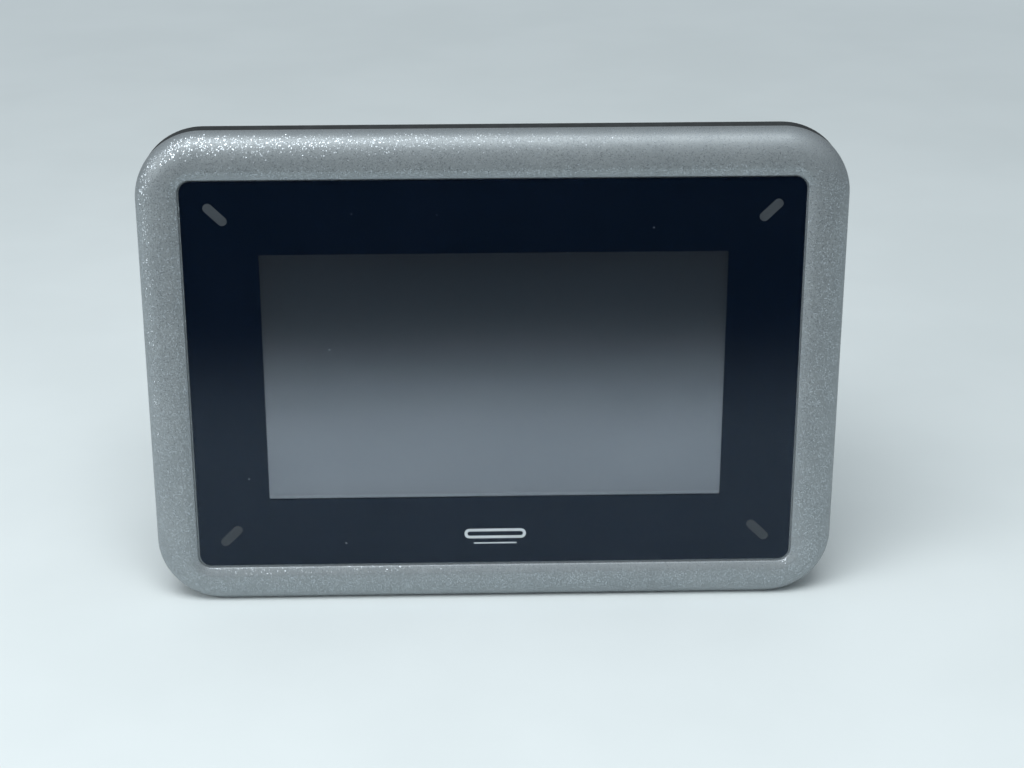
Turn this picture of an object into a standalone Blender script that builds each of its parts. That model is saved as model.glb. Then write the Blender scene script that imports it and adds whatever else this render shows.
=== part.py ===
"""Touch panel (operator terminal) for a cabinet door, modelled as it comes apart on a bench.

Metres, +Z up. The origin is the centre of the touch surface; the operator looks along +Y, and X is to the
operator's right. The cabinet's sheet metal lies against the gasket's rear face, at Y = SEAL_Y.
"""

import math

import bmesh
import bpy
from mathutils import Matrix, Vector

MM = 0.001

# Fits.
SLIP = 0.1 * MM  # between two pieces that rest on each other
CLEAR = 0.3 * MM  # around a piece in its pocket
OVERLAP = 0.5 * MM  # how far a joined shape runs into its neighbour
BEYOND = 1.0 * MM  # how far a cutting shape runs past the surface that it cuts

# Front frame. Insets are measured from its outer edge.
FRONT_WIDTH = 145.0 * MM
FRONT_HEIGHT = 104.6 * MM
FRONT_RISE = 0.4 * MM  # the outer edge's centre lies this far above the overlay's
FRONT_CORNER = 14.0 * MM
CROWN_Y = -1.0 * MM  # foremost line of the frame
RIM_BACK_Y = 4.4 * MM  # the rim is deeper than the ledge that carries the overlay
LEDGE_BACK_Y = 2.4 * MM
RIM_INSET = 7.2 * MM  # inner edge of the rim, and of the gasket behind it
CHAMFER = (1.4 * MM, 0.75 * MM)  # width and depth, round the overlay's pocket
OVERLAY_INSET = 8.8 * MM
GLASS_INSET = 16.5 * MM
POCKET_CORNER = 2.8 * MM
EDGE_ROUND_IN = 3.8 * MM
EDGE_ROUND_DEEP = 3.8 * MM
POST_RADIUS = 2.3 * MM
RELIEF_LENGTH = 83.4 * MM
RELIEF_DEPTH = 0.5 * MM
CORNER_STEPS = 8
EDGE_STEPS = 5

# Gasket and cut-out in the cabinet's sheet.
SEAL_Y = 8.4 * MM
CUTOUT_WIDTH = 128.0 * MM
CUTOUT_HEIGHT = 87.0 * MM

# Touch and display stack: (front, rear) of each layer.
OVERLAY_Y = (0.0, 0.4 * MM)
GLASS_Y = (0.55 * MM, 2.35 * MM)
DISPLAY_GASKET_Y = (2.5 * MM, 3.2 * MM)
DISPLAY_FRAME_Y = (3.3 * MM, 7.5 * MM)
CELL_Y = (3.85 * MM, 4.95 * MM)
DIFFUSER_Y = (5.05 * MM, 5.45 * MM)
LIGHT_GUIDE_Y = (5.55 * MM, 6.9 * MM)
TRAY_Y = (5.05 * MM, 7.8 * MM)
DISPLAY_WIDTH = 105.5 * MM
DISPLAY_HEIGHT = 67.2 * MM
WINDOW_WIDTH = 97.6 * MM
WINDOW_HEIGHT = 56.4 * MM

# Rear housing.
BOX_WIDTH = 125.0 * MM
BOX_HEIGHT = 82.0 * MM
BOX_CORNER = 4.0 * MM
WALL = 2.0 * MM
COLLAR_BACK_Y = 17.0 * MM  # the front of the housing is a collar that fills the cut-out
WEB_Y = (8.1 * MM, 9.9 * MM)  # inner wall between the display and the board
COVER_Y = (43.6 * MM, 45.5 * MM)
LABEL_SIZE = (62.0 * MM, 38.0 * MM)
SIDE_X = -BOX_WIDTH / 2
FLOOR_Z = -BOX_HEIGHT / 2
ROOF_Z = BOX_HEIGHT / 2

# Circuit board.
BOARD_WIDTH = 118.0 * MM
BOARD_HEIGHT = 76.0 * MM
BOARD_Y = (25.0 * MM, 26.6 * MM)
BOARD_FRONT = BOARD_Y[0] - SLIP  # what sits on the board's front face starts here
BOARD_REAR = BOARD_Y[1] + SLIP  # and on its rear face here

# Fasteners, in X and Z.
CORNERS = ((-1, 1), (1, 1), (-1, -1), (1, -1))
FRAME_SCREW_AT = (40.0 * MM, 36.7 * MM)
COVER_SCREW_AT = (57.6 * MM, 36.1 * MM)
BOARD_SCREWS = [(x * MM, z * MM) for x, z in ((-46.0, 33.4), (46.0, 33.4), (-50.0, -19.0), (50.0, -19.0))]
PAN_HEAD = (2.1 * MM, 1.6 * MM)  # radius and height of an M2.5 head

# Sockets in the lower wall, which open downwards: X of their centres, and more where they need it.
POWER_X = -36.0 * MM
LAN_X = -13.0 * MM
USB_X = 6.0 * MM
SERIAL_X = 36.0 * MM
SERIAL_Y = 33.1 * MM
JACK_OFFSET = 12.5 * MM
GROUND_AT = (-24.0 * MM, 21.2 * MM)
GROUND_HEAD = (3.6 * MM, 2.4 * MM)

# Supply plug.
POLE_PITCH = 5.08 * MM
POLES = [POWER_X + i * POLE_PITCH for i in (-1, 0, 1)]
CLAMP_Z = -46.2 * MM  # axes of the plug's screws
SCREW_WELL_RADIUS = 2.05 * MM

# Memory card and mode switches, in the left wall.
CARD_Z = 16.0 * MM
CARD_SIZE = (31.9 * MM, 2.1 * MM, 24.0 * MM)
SCOOP_RADIUS = 12.0 * MM
SWITCH_Z = -6.5 * MM
SWITCH_PITCH = 2.54 * MM
SWITCH_COUNT = 4

# Linear colour, roughness, metallic value.
MATERIALS = {
    "silver_coat": ((0.29, 0.32, 0.34), 0.45, 0.6),
    "rubber": ((0.02, 0.022, 0.024), 0.85, 0.0),
    "overlay": ((0.008, 0.012, 0.02), 0.25, 0.0),
    "glass": ((0.55, 0.6, 0.62), 0.08, 0.0),
    "screen": ((0.06, 0.07, 0.08), 0.3, 0.0),
    "white_sheet": ((0.85, 0.85, 0.83), 0.5, 0.0),
    "flex": ((0.35, 0.16, 0.04), 0.4, 0.0),
    "steel": ((0.55, 0.55, 0.54), 0.3, 1.0),
    "zinc": ((0.6, 0.6, 0.58), 0.35, 1.0),
    "board": ((0.02, 0.12, 0.05), 0.4, 0.0),
    "black_plastic": ((0.02, 0.02, 0.022), 0.5, 0.0),
    "plug_green": ((0.03, 0.23, 0.09), 0.5, 0.0),
    "switch_red": ((0.35, 0.03, 0.03), 0.5, 0.0),
    "white_plastic": ((0.8, 0.8, 0.78), 0.45, 0.0),
    "label": ((0.7, 0.71, 0.72), 0.4, 0.2),
}


# ------------------------------------------------------------------------------------------ scene


def clear_scene():
    for obj in list(bpy.data.objects):
        bpy.data.objects.remove(obj)


def new_collection(name):
    collection = bpy.data.collections.new(name)
    bpy.context.scene.collection.children.link(collection)
    return collection


def make_material(name):
    colour, roughness, metallic = MATERIALS[name]
    material = bpy.data.materials.new(name)
    material.use_nodes = True
    shader = material.node_tree.nodes["Principled BSDF"]
    shader.inputs["Base Color"].default_value = (*colour, 1.0)
    shader.inputs["Roughness"].default_value = roughness
    shader.inputs["Metallic"].default_value = metallic
    return material


def add_object(name, data, material=None):
    """Links data as a part, or, when it has no material, as the hidden helper of a Boolean."""
    obj = bpy.data.objects.new(name, data)
    if material is None:
        HELPERS.objects.link(obj)
        obj.hide_render = True
        obj.display_type = "WIRE"
    else:
        PARTS.objects.link(obj)
        obj.data.materials.append(PAINTS[material])
    return obj


def mesh_from(name, shape):
    bmesh.ops.recalc_face_normals(shape, faces=shape.faces)
    mesh = bpy.data.meshes.new(name)
    shape.to_mesh(mesh)
    shape.free()
    return mesh


# ------------------------------------------------------------------------------------------ shapes


def mm(low, high):
    return (low * MM, high * MM)


def around(centre, half):
    return (centre - half, centre + half)


def boxed(x, y, z):
    """A bmesh box between two values on each axis."""
    shape = bmesh.new()
    bmesh.ops.create_cube(shape, size=1.0)
    centre = Vector((x[0] + x[1], y[0] + y[1], z[0] + z[1])) / 2
    scale = Matrix.Diagonal((x[1] - x[0], y[1] - y[0], z[1] - z[0], 1.0))
    bmesh.ops.transform(shape, matrix=Matrix.Translation(centre) @ scale, verts=shape.verts)
    return shape


def edges_along(shape, axis):
    """The edges that run along one axis (0, 1 or 2) more than along the other two."""
    found = []
    for edge in shape.edges:
        run = edge.verts[0].co - edge.verts[1].co
        if abs(run[axis]) > run.length / 2:
            found.append(edge)
    return found


def round_edges(shape, edges, radius, steps):
    bmesh.ops.bevel(
        shape, geom=edges, offset=radius, offset_type="OFFSET", segments=steps, profile=0.5, affect="EDGES"
    )


def block(name, x, y, z, material=None, corner=0.0, axis=1, steps=4):
    """A box whose four edges along one axis can be rounded."""
    shape = boxed(x, y, z)
    if corner:
        round_edges(shape, edges_along(shape, axis), corner, steps)
    return add_object(name, mesh_from(name, shape), material)


def slab(name, width, height, y, material=None, corner=0.0, steps=4, at=(0.0, 0.0)):
    """A plate parallel to the screen, centred on at = (x, z)."""
    return block(name, around(at[0], width / 2), y, around(at[1], height / 2), material, corner, 1, steps)


def rod(name, radius, axis, span, at, material=None, sides=16, end_radius=None):
    """A cylinder, or a cone, along one axis; at holds its centre on the other two axes, in X, Y, Z order."""
    shape = bmesh.new()
    bmesh.ops.create_cone(
        shape,
        cap_ends=True,
        segments=sides,
        radius1=radius,
        radius2=radius if end_radius is None else end_radius,
        depth=span[1] - span[0],
    )
    turns = (Matrix.Rotation(math.pi / 2, 4, "Y"), Matrix.Rotation(-math.pi / 2, 4, "X"), Matrix.Identity(4))
    centre = list(at)
    centre.insert(axis, (span[0] + span[1]) / 2)
    bmesh.ops.transform(shape, matrix=Matrix.Translation(centre) @ turns[axis], verts=shape.verts)
    return add_object(name, mesh_from(name, shape), material)


def add_boolean(target, other, operation):
    modifier = target.modifiers.new(f"{operation.lower()} {other.name}", "BOOLEAN")
    modifier.operation = operation
    modifier.object = other
    modifier.solver = "EXACT"


def cut(target, *cutters):
    for cutter in cutters:
        add_boolean(target, cutter, "DIFFERENCE")
    return target


def join(target, *others):
    for other in others:
        add_boolean(target, other, "UNION")
    return target


def rounded_outline(width, height, radius):
    """Points of a rounded rectangle in X and Z, anticlockwise from the upper end of its right side."""
    points = []
    for quarter, (side, up) in enumerate(((1, 1), (-1, 1), (-1, -1), (1, -1))):
        for step in range(CORNER_STEPS + 1):
            angle = (quarter + step / CORNER_STEPS) * math.pi / 2
            x = side * (width / 2 - radius) + radius * math.cos(angle)
            z = up * (height / 2 - radius) + radius * math.sin(angle)
            points.append((x, z))
    return points


def frame_ring(name, profile, material):
    """A closed ring along the front's outline; profile lists (inset, y, corner radius) round its section."""
    shape = bmesh.new()
    rings = []
    for inset, y, radius in profile:
        outline = rounded_outline(FRONT_WIDTH - 2 * inset, FRONT_HEIGHT - 2 * inset, radius)
        rise = FRONT_RISE * max(1 - inset / OVERLAY_INSET, 0.0)
        rings.append([shape.verts.new((x, y, z + rise)) for x, z in outline])
    for ring, following in zip(rings, rings[1:] + rings[:1]):
        for i in range(len(ring)):
            j = (i + 1) % len(ring)
            shape.faces.new((ring[i], ring[j], following[j], following[i]))
    return add_object(name, mesh_from(name, shape), material)


def bezel_corner(inset):
    """Corner radius of the frame at an inset: it narrows evenly from the outer corner to the pocket's."""
    share = min(inset / OVERLAY_INSET, 1.0)
    return FRONT_CORNER + (POCKET_CORNER - FRONT_CORNER) * share


def turned(name, profile, material, steps=16):
    """A solid of revolution about its own Z; profile lists (radius, height) from the top centre downwards."""
    mesh = bpy.data.meshes.new(name)
    mesh.from_pydata([(r, 0, h) for r, h in profile], [(i, i + 1) for i in range(len(profile) - 1)], [])
    obj = add_object(name, mesh, material)
    spin = obj.modifiers.new("turn", "SCREW")
    spin.steps = steps
    spin.render_steps = steps
    spin.use_merge_vertices = True
    spin.merge_threshold = 1e-5
    spin.use_smooth_shade = False
    return obj


def screw(name, head, shank, length, at, facing, countersunk=False, slotted=False):
    """A screw; `at` is the centre of its head's top, head is (radius, height), length is below the head."""
    radius, height = head
    tip = -height - length
    point = CLEAR
    if countersunk:
        outline = [(0, 0), (radius, 0), (radius, -0.15 * MM), (shank, -height)]
    else:
        outline = [(0, 0), (radius * 0.8, 0), (radius, -height * 0.3), (radius, -height), (shank, -height)]
    outline += [(shank, tip + point), (shank - point, tip), (0, tip)]
    body = turned(name, outline, "zinc", steps=12 if radius < 2.5 * MM and not slotted else 16)
    if slotted:
        drive = block(
            name + "_slot", around(0.0, radius * 1.2), around(0.0, 0.25 * MM), (-height * 0.45, OVERLAP)
        )
    else:
        drive = rod(name + "_socket", radius * 0.42, 2, (-height * 0.55, OVERLAP), (0, 0), sides=6)
    body.matrix_world = Matrix.Translation(at) @ Vector(facing).to_track_quat("Z", "Y").to_matrix().to_4x4()
    drive.parent = body
    return cut(body, drive)


def ribbon(name, path, x_span):
    """A flat flex cable; path lists the (y, z) of its centre line."""
    shape = bmesh.new()
    pairs = [[shape.verts.new((x, y, z)) for x in x_span] for y, z in path]
    for (a, b), (c, d) in zip(pairs, pairs[1:]):
        shape.faces.new((a, b, d, c))
    obj = add_object(name, mesh_from(name, shape), "flex")
    solid = obj.modifiers.new("thickness", "SOLIDIFY")
    solid.thickness = 0.3 * MM
    solid.offset = 0.0
    return obj


def cable_path(start, level, turn_y, end_z, bend, steps=4):
    """From start = (y, z) down to a level run, rearwards to turn_y and up to end_z, with round bends."""
    path = [start]
    for centre_y, begin in ((start[0] + bend, math.pi), (turn_y - bend, 1.5 * math.pi)):
        for step in range(steps + 1):
            angle = begin + step / steps * math.pi / 2
            path.append((centre_y + bend * math.cos(angle), level + bend + bend * math.sin(angle)))
    path.append((turn_y, end_z))
    return path


# ------------------------------------------------------------------------------------------ front


def front_bezel():
    """Cast front frame: rounded edge, soft crown, chamfer down to the overlay's pocket, four posts behind."""
    profile = [(0.0, RIM_BACK_Y)]
    for step in range(EDGE_STEPS + 1):
        angle = step / EDGE_STEPS * math.pi / 2
        inset = EDGE_ROUND_IN * (1 - math.cos(angle))
        profile.append((inset, CROWN_Y + 0.1 * MM + EDGE_ROUND_DEEP * (1 - math.sin(angle))))
    ledge_y = OVERLAY_Y[1] + SLIP
    profile += [
        (5.1 * MM, CROWN_Y),
        (OVERLAY_INSET - CHAMFER[0], OVERLAY_Y[0] - SLIP - CHAMFER[1]),
        (OVERLAY_INSET, OVERLAY_Y[0] - SLIP),
        (OVERLAY_INSET, ledge_y),
        (GLASS_INSET, ledge_y),
        (GLASS_INSET, LEDGE_BACK_Y),
        (RIM_INSET, LEDGE_BACK_Y),
        (RIM_INSET, RIM_BACK_Y),
    ]
    bezel = frame_ring("front_bezel", [(i, y, bezel_corner(i)) for i, y in profile], "silver_coat")
    for number, (side, up) in enumerate(CORNERS, 1):
        at = (side * FRAME_SCREW_AT[0], up * FRAME_SCREW_AT[1])
        post_end = WEB_Y[0] - SLIP
        join(bezel, rod(f"post_{number}", POST_RADIUS, 1, (LEDGE_BACK_Y - 2 * OVERLAP, post_end), at))
        cut(bezel, rod(f"post_hole_{number}", 1.25 * MM, 1, (2.6 * MM, post_end + BEYOND), at, sides=12))
    relief = block(
        "lower_relief",
        around(0.0, RELIEF_LENGTH / 2),
        (0.2 * MM, RIM_BACK_Y + BEYOND),
        around(FRONT_RISE - FRONT_HEIGHT / 2, RELIEF_DEPTH),
        corner=0.4 * MM,
    )
    return cut(bezel, relief)


def panel_gasket():
    """Rubber gasket behind the frame, with a shadow groove next to the frame."""
    front = RIM_BACK_Y + SLIP
    profile = [
        (RIM_INSET, front),
        (0.9 * MM, front),
        (0.9 * MM, front + 0.6 * MM),
        (0.25 * MM, front + 0.8 * MM),
        (0.25 * MM, SEAL_Y - 0.2 * MM),
        (0.45 * MM, SEAL_Y),
        (RIM_INSET, SEAL_Y),
    ]
    return frame_ring("panel_gasket", [(i, y, FRONT_CORNER - i) for i, y in profile], "rubber")


def touch_stack():
    """Printed overlay film, touch glass and its tail, and the foam ring in front of the display."""
    width = FRONT_WIDTH - 2 * OVERLAY_INSET - 2 * CLEAR
    height = FRONT_HEIGHT - 2 * OVERLAY_INSET - 2 * CLEAR
    slab("touch_overlay", width, height, OVERLAY_Y, "overlay", POCKET_CORNER - CLEAR)
    slab("touch_glass", 111.0 * MM, 68.4 * MM, GLASS_Y, "glass", 0.5 * MM, 1)
    tail = cable_path(mm(1.5, -34.3), -35.1 * MM, 23.6 * MM, -33.2 * MM, bend=0.6 * MM)
    ribbon("touch_tail", tail, mm(26.0, 34.0))
    gasket = slab("display_gasket", 104.0 * MM, 64.0 * MM, DISPLAY_GASKET_Y, "rubber", 2.0 * MM, 2)
    hole_y = (DISPLAY_GASKET_Y[0] - BEYOND, DISPLAY_GASKET_Y[1] + BEYOND)
    cut(gasket, slab("display_gasket_hole", WINDOW_WIDTH + 0.4 * MM, WINDOW_HEIGHT + 0.6 * MM, hole_y))


def display_module():
    """The display: steel frame, liquid crystal cell, diffuser, light guide, LED strip, tray and flex."""
    sheet = 0.5 * MM
    front, rear = DISPLAY_FRAME_Y
    frame = slab("display_frame", DISPLAY_WIDTH, DISPLAY_HEIGHT, DISPLAY_FRAME_Y, "steel", 1.0 * MM, 2)
    inner = (DISPLAY_WIDTH - 2 * sheet, DISPLAY_HEIGHT - 2 * sheet)
    cut(frame, slab("display_frame_hollow", *inner, (front + 0.4 * MM, rear + BEYOND)))
    cut(frame, slab("display_frame_window", WINDOW_WIDTH, WINDOW_HEIGHT, (front - BEYOND, rear)))
    slab("display_cell", 103.5 * MM, 65.2 * MM, CELL_Y, "screen")
    slab("diffuser_film", 101.6 * MM, 63.4 * MM, DIFFUSER_Y, "white_sheet")
    block("light_guide", mm(-50.8, 50.8), LIGHT_GUIDE_Y, mm(-30.2, 31.6), "glass")
    tray = slab("backlight_tray", 103.9 * MM, 65.6 * MM, TRAY_Y, "white_plastic", 0.6 * MM, 1)
    cut(tray, slab("tray_hollow", 102.3 * MM, 64.0 * MM, (TRAY_Y[0] - BEYOND, TRAY_Y[1] - 0.7 * MM)))
    strip = block("led_strip", mm(-47.0, 47.0), mm(6.4, 6.8), mm(-31.8, -30.5), "white_plastic")
    for i in range(6):
        x = (i - 2.5) * 16.0 * MM
        join(strip, block(f"led_{i}", around(x, 1.5 * MM), mm(5.7, 6.5), mm(-31.5, -30.6)))
    path = cable_path(mm(4.6, -33.8), -35.8 * MM, 23.6 * MM, -33.2 * MM, bend=1.2 * MM)
    ribbon("display_flex", path, mm(-12.0, 12.0))


# ------------------------------------------------------------------------------------------ housing


def housing_shell():
    """Collar and box with a hollow in front for the display, a hollow behind for the board, a web between."""
    collar = (CUTOUT_WIDTH - 2 * CLEAR, CUTOUT_HEIGHT - 2 * CLEAR)
    shell = slab("rear_housing", *collar, (LEDGE_BACK_Y + SLIP, COLLAR_BACK_Y), "silver_coat", 5.0 * MM, 5)
    box_y = (COLLAR_BACK_Y - 4 * BEYOND, COVER_Y[0] - SLIP)
    join(shell, slab("box", BOX_WIDTH, BOX_HEIGHT, box_y, corner=BOX_CORNER, steps=5))
    cut(shell, slab("front_hollow", BOX_WIDTH - WALL, BOX_HEIGHT, (0.0, WEB_Y[0]), corner=3.0 * MM))
    hollow = (BOX_WIDTH - 2 * WALL, BOX_HEIGHT - 2 * WALL)
    cut(shell, slab("rear_hollow", *hollow, (WEB_Y[1], COVER_Y[1]), corner=2.5 * MM))
    return shell


def housing_supports(shell):
    """Corner columns for the cover's screws, hexagonal stand-offs for the board, and the ground boss."""
    through_web = (WEB_Y[0] - BEYOND, WEB_Y[1] + BEYOND)
    for number, (side, up) in enumerate(CORNERS, 1):
        at = (side * COVER_SCREW_AT[0], up * COVER_SCREW_AT[1])
        join(shell, rod(f"column_{number}", 3.2 * MM, 1, (WEB_Y[1] - OVERLAP, COVER_Y[0] - SLIP), at))
        cut(shell, rod(f"column_hole_{number}", 1.3 * MM, 1, (34.0 * MM, COVER_Y[1]), at, sides=12))
        at = (side * FRAME_SCREW_AT[0], up * FRAME_SCREW_AT[1])
        cut(shell, rod(f"web_hole_{number}", 1.4 * MM, 1, through_web, at, sides=12))
    for number, at in enumerate(BOARD_SCREWS, 1):
        join(shell, rod(f"standoff_{number}", 2.9 * MM, 1, (WEB_Y[1] - OVERLAP, BOARD_FRONT), at, sides=6))
        hole_y = (16.0 * MM, BOARD_FRONT + BEYOND)
        cut(shell, rod(f"standoff_hole_{number}", 1.15 * MM, 1, hole_y, at, sides=12))
    join(shell, rod("ground_boss", 3.5 * MM, 2, (FLOOR_Z + 1.0 * MM, FLOOR_Z + 5.5 * MM), GROUND_AT))
    cut(shell, rod("ground_hole", 2.0 * MM, 2, (FLOOR_Z - BEYOND, FLOOR_Z + 7.0 * MM), GROUND_AT, sides=12))


def housing_openings(shell):
    """Windows and cable slots in the web, vents, clamp slots, and the openings for what reaches outside."""
    web = (WEB_Y[0] - BEYOND, WEB_Y[1] + BEYOND)
    for side in (-1, 1):
        at = (side * 26.0 * MM, 3.0 * MM)
        cut(shell, slab(f"web_window_{side}", 36.0 * MM, 42.0 * MM, web, corner=3.0 * MM, at=at))
    cut(shell, block("flex_slot", mm(-13.0, 13.0), web, mm(-37.4, -34.6)))
    cut(shell, block("tail_slot", mm(25.0, 35.0), web, mm(-37.4, -34.4)))
    roof = (ROOF_Z - WALL - BEYOND, ROOF_Z + BEYOND)
    floor = (FLOOR_Z - BEYOND, FLOOR_Z + WALL + BEYOND / 2)
    for i in range(9):
        x_span = around((i - 4) * 8.0 * MM, 1.2 * MM)
        cut(shell, block(f"vent_{i}", x_span, mm(27.0, 41.0), roof, corner=1.1 * MM, axis=2, steps=3))
    for side in (-1, 1):
        x_span = around(side * 47.0 * MM, 5.0 * MM)
        for level, wall in (("upper", roof), ("lower", floor)):
            cut(shell, block(f"{level}_clamp_slot_{side}", x_span, mm(18.5, 22.5), wall))
    cut(shell, block("power_port", around(POWER_X, 9.7 * MM), mm(26.4, 37.6), floor))
    cut(shell, block("lan_port", around(LAN_X, 8.3 * MM), mm(26.4, 40.5), floor))
    cut(shell, block("usb_port", around(USB_X, 6.9 * MM), mm(26.6, 33.0), floor))
    cut(shell, block("serial_port", around(SERIAL_X, 15.7 * MM), mm(26.5, 39.7), floor))
    side_wall = (SIDE_X - BEYOND, SIDE_X + WALL + BEYOND / 2)
    cut(shell, block("card_slot", side_wall, mm(26.9, 29.9), around(CARD_Z, 12.7 * MM)))
    scoop_at = (SIDE_X - SCOOP_RADIUS + 1.2 * MM, CARD_Z)
    cut(shell, rod("finger_scoop", SCOOP_RADIUS, 1, mm(23.5, 33.5), scoop_at, sides=48))
    cut(shell, block("switch_window", side_wall, mm(26.4, 32.6), around(SWITCH_Z, 5.8 * MM)))


def back_cover():
    """Rear plate with a softened edge, a recess for the label and four countersunk holes."""
    cover = slab("back_cover", BOX_WIDTH, BOX_HEIGHT, COVER_Y, "silver_coat", BOX_CORNER, 5)
    soft = cover.modifiers.new("edge", "BEVEL")
    soft.width = 0.6 * MM
    soft.segments = 2
    soft.limit_method = "ANGLE"
    soft.angle_limit = math.radians(60)
    outside = COVER_Y[1]
    recess = (outside - 0.4 * MM, outside + BEYOND)
    cut(cover, slab("label_recess", LABEL_SIZE[0] + 2 * CLEAR, LABEL_SIZE[1] + 2 * CLEAR, recess))
    through = (COVER_Y[0] - BEYOND, outside + BEYOND)
    sink = (outside - 1.6 * MM, outside + 0.1 * MM)
    for number, (side, up) in enumerate(CORNERS, 1):
        at = (side * COVER_SCREW_AT[0], up * COVER_SCREW_AT[1])
        cut(cover, rod(f"cover_hole_{number}", 1.6 * MM, 1, through, at))
        cut(cover, rod(f"countersink_{number}", 1.6 * MM, 1, sink, at, end_radius=3.1 * MM))
    slab("label_plate", *LABEL_SIZE, (recess[0] + SLIP, outside - 0.05 * MM), "label", 1.0 * MM, 2)


def fasteners():
    """Screws that hold the housing to the frame, the board to the housing, the cover and the earth wire."""
    rearwards = (0, 1, 0)
    for number, (side, up) in enumerate(CORNERS, 1):
        at = (side * FRAME_SCREW_AT[0], WEB_Y[1] + SLIP + PAN_HEAD[1], up * FRAME_SCREW_AT[1])
        screw(f"frame_screw_{number}", PAN_HEAD, 1.05 * MM, 6.4 * MM, at, rearwards)
        at = (side * COVER_SCREW_AT[0], COVER_Y[1] - 0.05 * MM, up * COVER_SCREW_AT[1])
        screw(f"cover_screw_{number}", mm(2.7, 1.7), 1.1 * MM, 9.0 * MM, at, rearwards, countersunk=True)
    for number, (x, z) in enumerate(BOARD_SCREWS, 1):
        at = (x, BOARD_REAR + PAN_HEAD[1], z)
        screw(f"board_screw_{number}", PAN_HEAD, 1.0 * MM, 6.4 * MM, at, rearwards)
    at = (*GROUND_AT, FLOOR_Z - SLIP - GROUND_HEAD[1])
    screw("ground_screw", GROUND_HEAD, 1.8 * MM, 6.0 * MM, at, (0, 0, -1), slotted=True)


# ------------------------------------------------------------------------------------------ board


def main_board():
    """Circuit board with corners notched round the columns, and holes for its screws."""
    board = slab("main_board", BOARD_WIDTH, BOARD_HEIGHT, BOARD_Y, "board")
    through = (BOARD_Y[0] - BEYOND, BOARD_Y[1] + BEYOND)
    for number, (side, up) in enumerate(CORNERS, 1):
        at = (side * 56.8 * MM, up * 35.6 * MM)
        cut(board, slab(f"board_notch_{number}", 6.4 * MM, 6.8 * MM, through, at=at))
    for number, at in enumerate(BOARD_SCREWS, 1):
        cut(board, rod(f"board_hole_{number}", 1.3 * MM, 1, through, at, sides=12))


def board_parts():
    """What is soldered to the board: processor, inductor, capacitor, clock battery and flex connectors."""
    chip_y = (BOARD_REAR, BOARD_REAR + 1.5 * MM)
    slab("processor", 17.0 * MM, 17.0 * MM, chip_y, "black_plastic", at=mm(-4.0, 4.0))
    coil_y = (BOARD_REAR, BOARD_REAR + 6.0 * MM)
    slab("power_inductor", 12.0 * MM, 12.0 * MM, coil_y, "black_plastic", 3.0 * MM, 3, mm(-22.0, -10.0))
    can = [(0, 9.5 * MM), (3.7 * MM, 9.5 * MM), (4.0 * MM, 9.1 * MM), (4.0 * MM, 1.2 * MM), (0, 1.2 * MM)]
    capacitor = turned("input_capacitor", can, "zinc")
    foot = block("capacitor_foot", mm(-4.1, 4.1), mm(-4.1, 4.1), mm(0.0, 1.5))
    foot.parent = capacitor
    stand = Matrix.Translation((-38.0 * MM, BOARD_REAR, -12.0 * MM))
    capacitor.matrix_world = stand @ Matrix.Rotation(-math.pi / 2, 4, "X")
    join(capacitor, foot)
    cell_at = mm(32.0, 4.0)
    holder_y = (BOARD_REAR, BOARD_REAR + 3.6 * MM)
    holder = slab("coin_cell_holder", 23.0 * MM, 23.0 * MM, holder_y, "black_plastic", 6.0 * MM, 3, cell_at)
    well_floor = BOARD_REAR + 0.8 * MM
    cut(holder, rod("cell_well", 10.3 * MM, 1, (well_floor, holder_y[1] + BEYOND), cell_at, sides=32))
    cell_y = (well_floor + SLIP, well_floor + SLIP + 3.2 * MM)
    rod("coin_cell", 10.0 * MM, 1, cell_y, cell_at, "steel", sides=32)
    front = (BOARD_FRONT - 2.4 * MM, BOARD_FRONT)
    block("display_connector", mm(-13.5, 13.5), front, mm(-33.0, -28.0), "white_plastic")
    block("touch_connector", mm(25.0, 35.0), front, mm(-33.0, -28.0), "white_plastic")


def lan_port():
    """Shielded network jack with its moulded insert; the plug's latch is towards the board."""
    shield = block("ethernet_shield", around(LAN_X, 8.0 * MM), mm(26.75, 40.2), mm(-41.6, -20.2), "steel")
    below = -43.0
    cut(shield, block("shield_hollow", around(LAN_X, 7.5 * MM), mm(27.2, 39.7), mm(below, -20.7)))
    insert_z = mm(-41.3, -21.0)
    insert = block("ethernet_insert", around(LAN_X, 7.2 * MM), mm(27.5, 39.4), insert_z, "black_plastic")
    cut(insert, block("plug_space", around(LAN_X, 6.0 * MM), mm(30.2, 38.4), mm(below, -28.5)))
    cut(insert, block("latch_space", around(LAN_X, 3.1 * MM), mm(28.6, 31.0), mm(below, -28.5)))


def usb_port():
    """Host port: folded steel shell round a plastic tongue."""
    shell = block("usb_shell", around(USB_X, 6.6 * MM), mm(26.9, 32.7), mm(-41.6, -27.6), "steel")
    cut(shell, block("usb_hollow", around(USB_X, 6.2 * MM), mm(27.3, 32.3), mm(-43.0, -28.0)))
    tongue = block("usb_tongue", around(USB_X, 6.0 * MM), mm(27.5, 32.1), mm(-31.0, -28.2), "white_plastic")
    join(tongue, block("usb_blade", around(USB_X, 5.6 * MM), mm(27.9, 29.7), mm(-40.6, -30.5)))


def d_block(name, width, height, z, corner):
    """The D outline of the serial port, drawn out along Z, with its narrow side towards the front."""
    shape = boxed(around(SERIAL_X, width / 2), around(SERIAL_Y, height / 2), z)
    lean = height * math.tan(math.radians(10))
    for vertex in shape.verts:
        if vertex.co.y < SERIAL_Y:
            vertex.co.x -= math.copysign(lean, vertex.co.x - SERIAL_X)
    round_edges(shape, edges_along(shape, 2), corner, 4)
    return add_object(name, mesh_from(name, shape))


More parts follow.
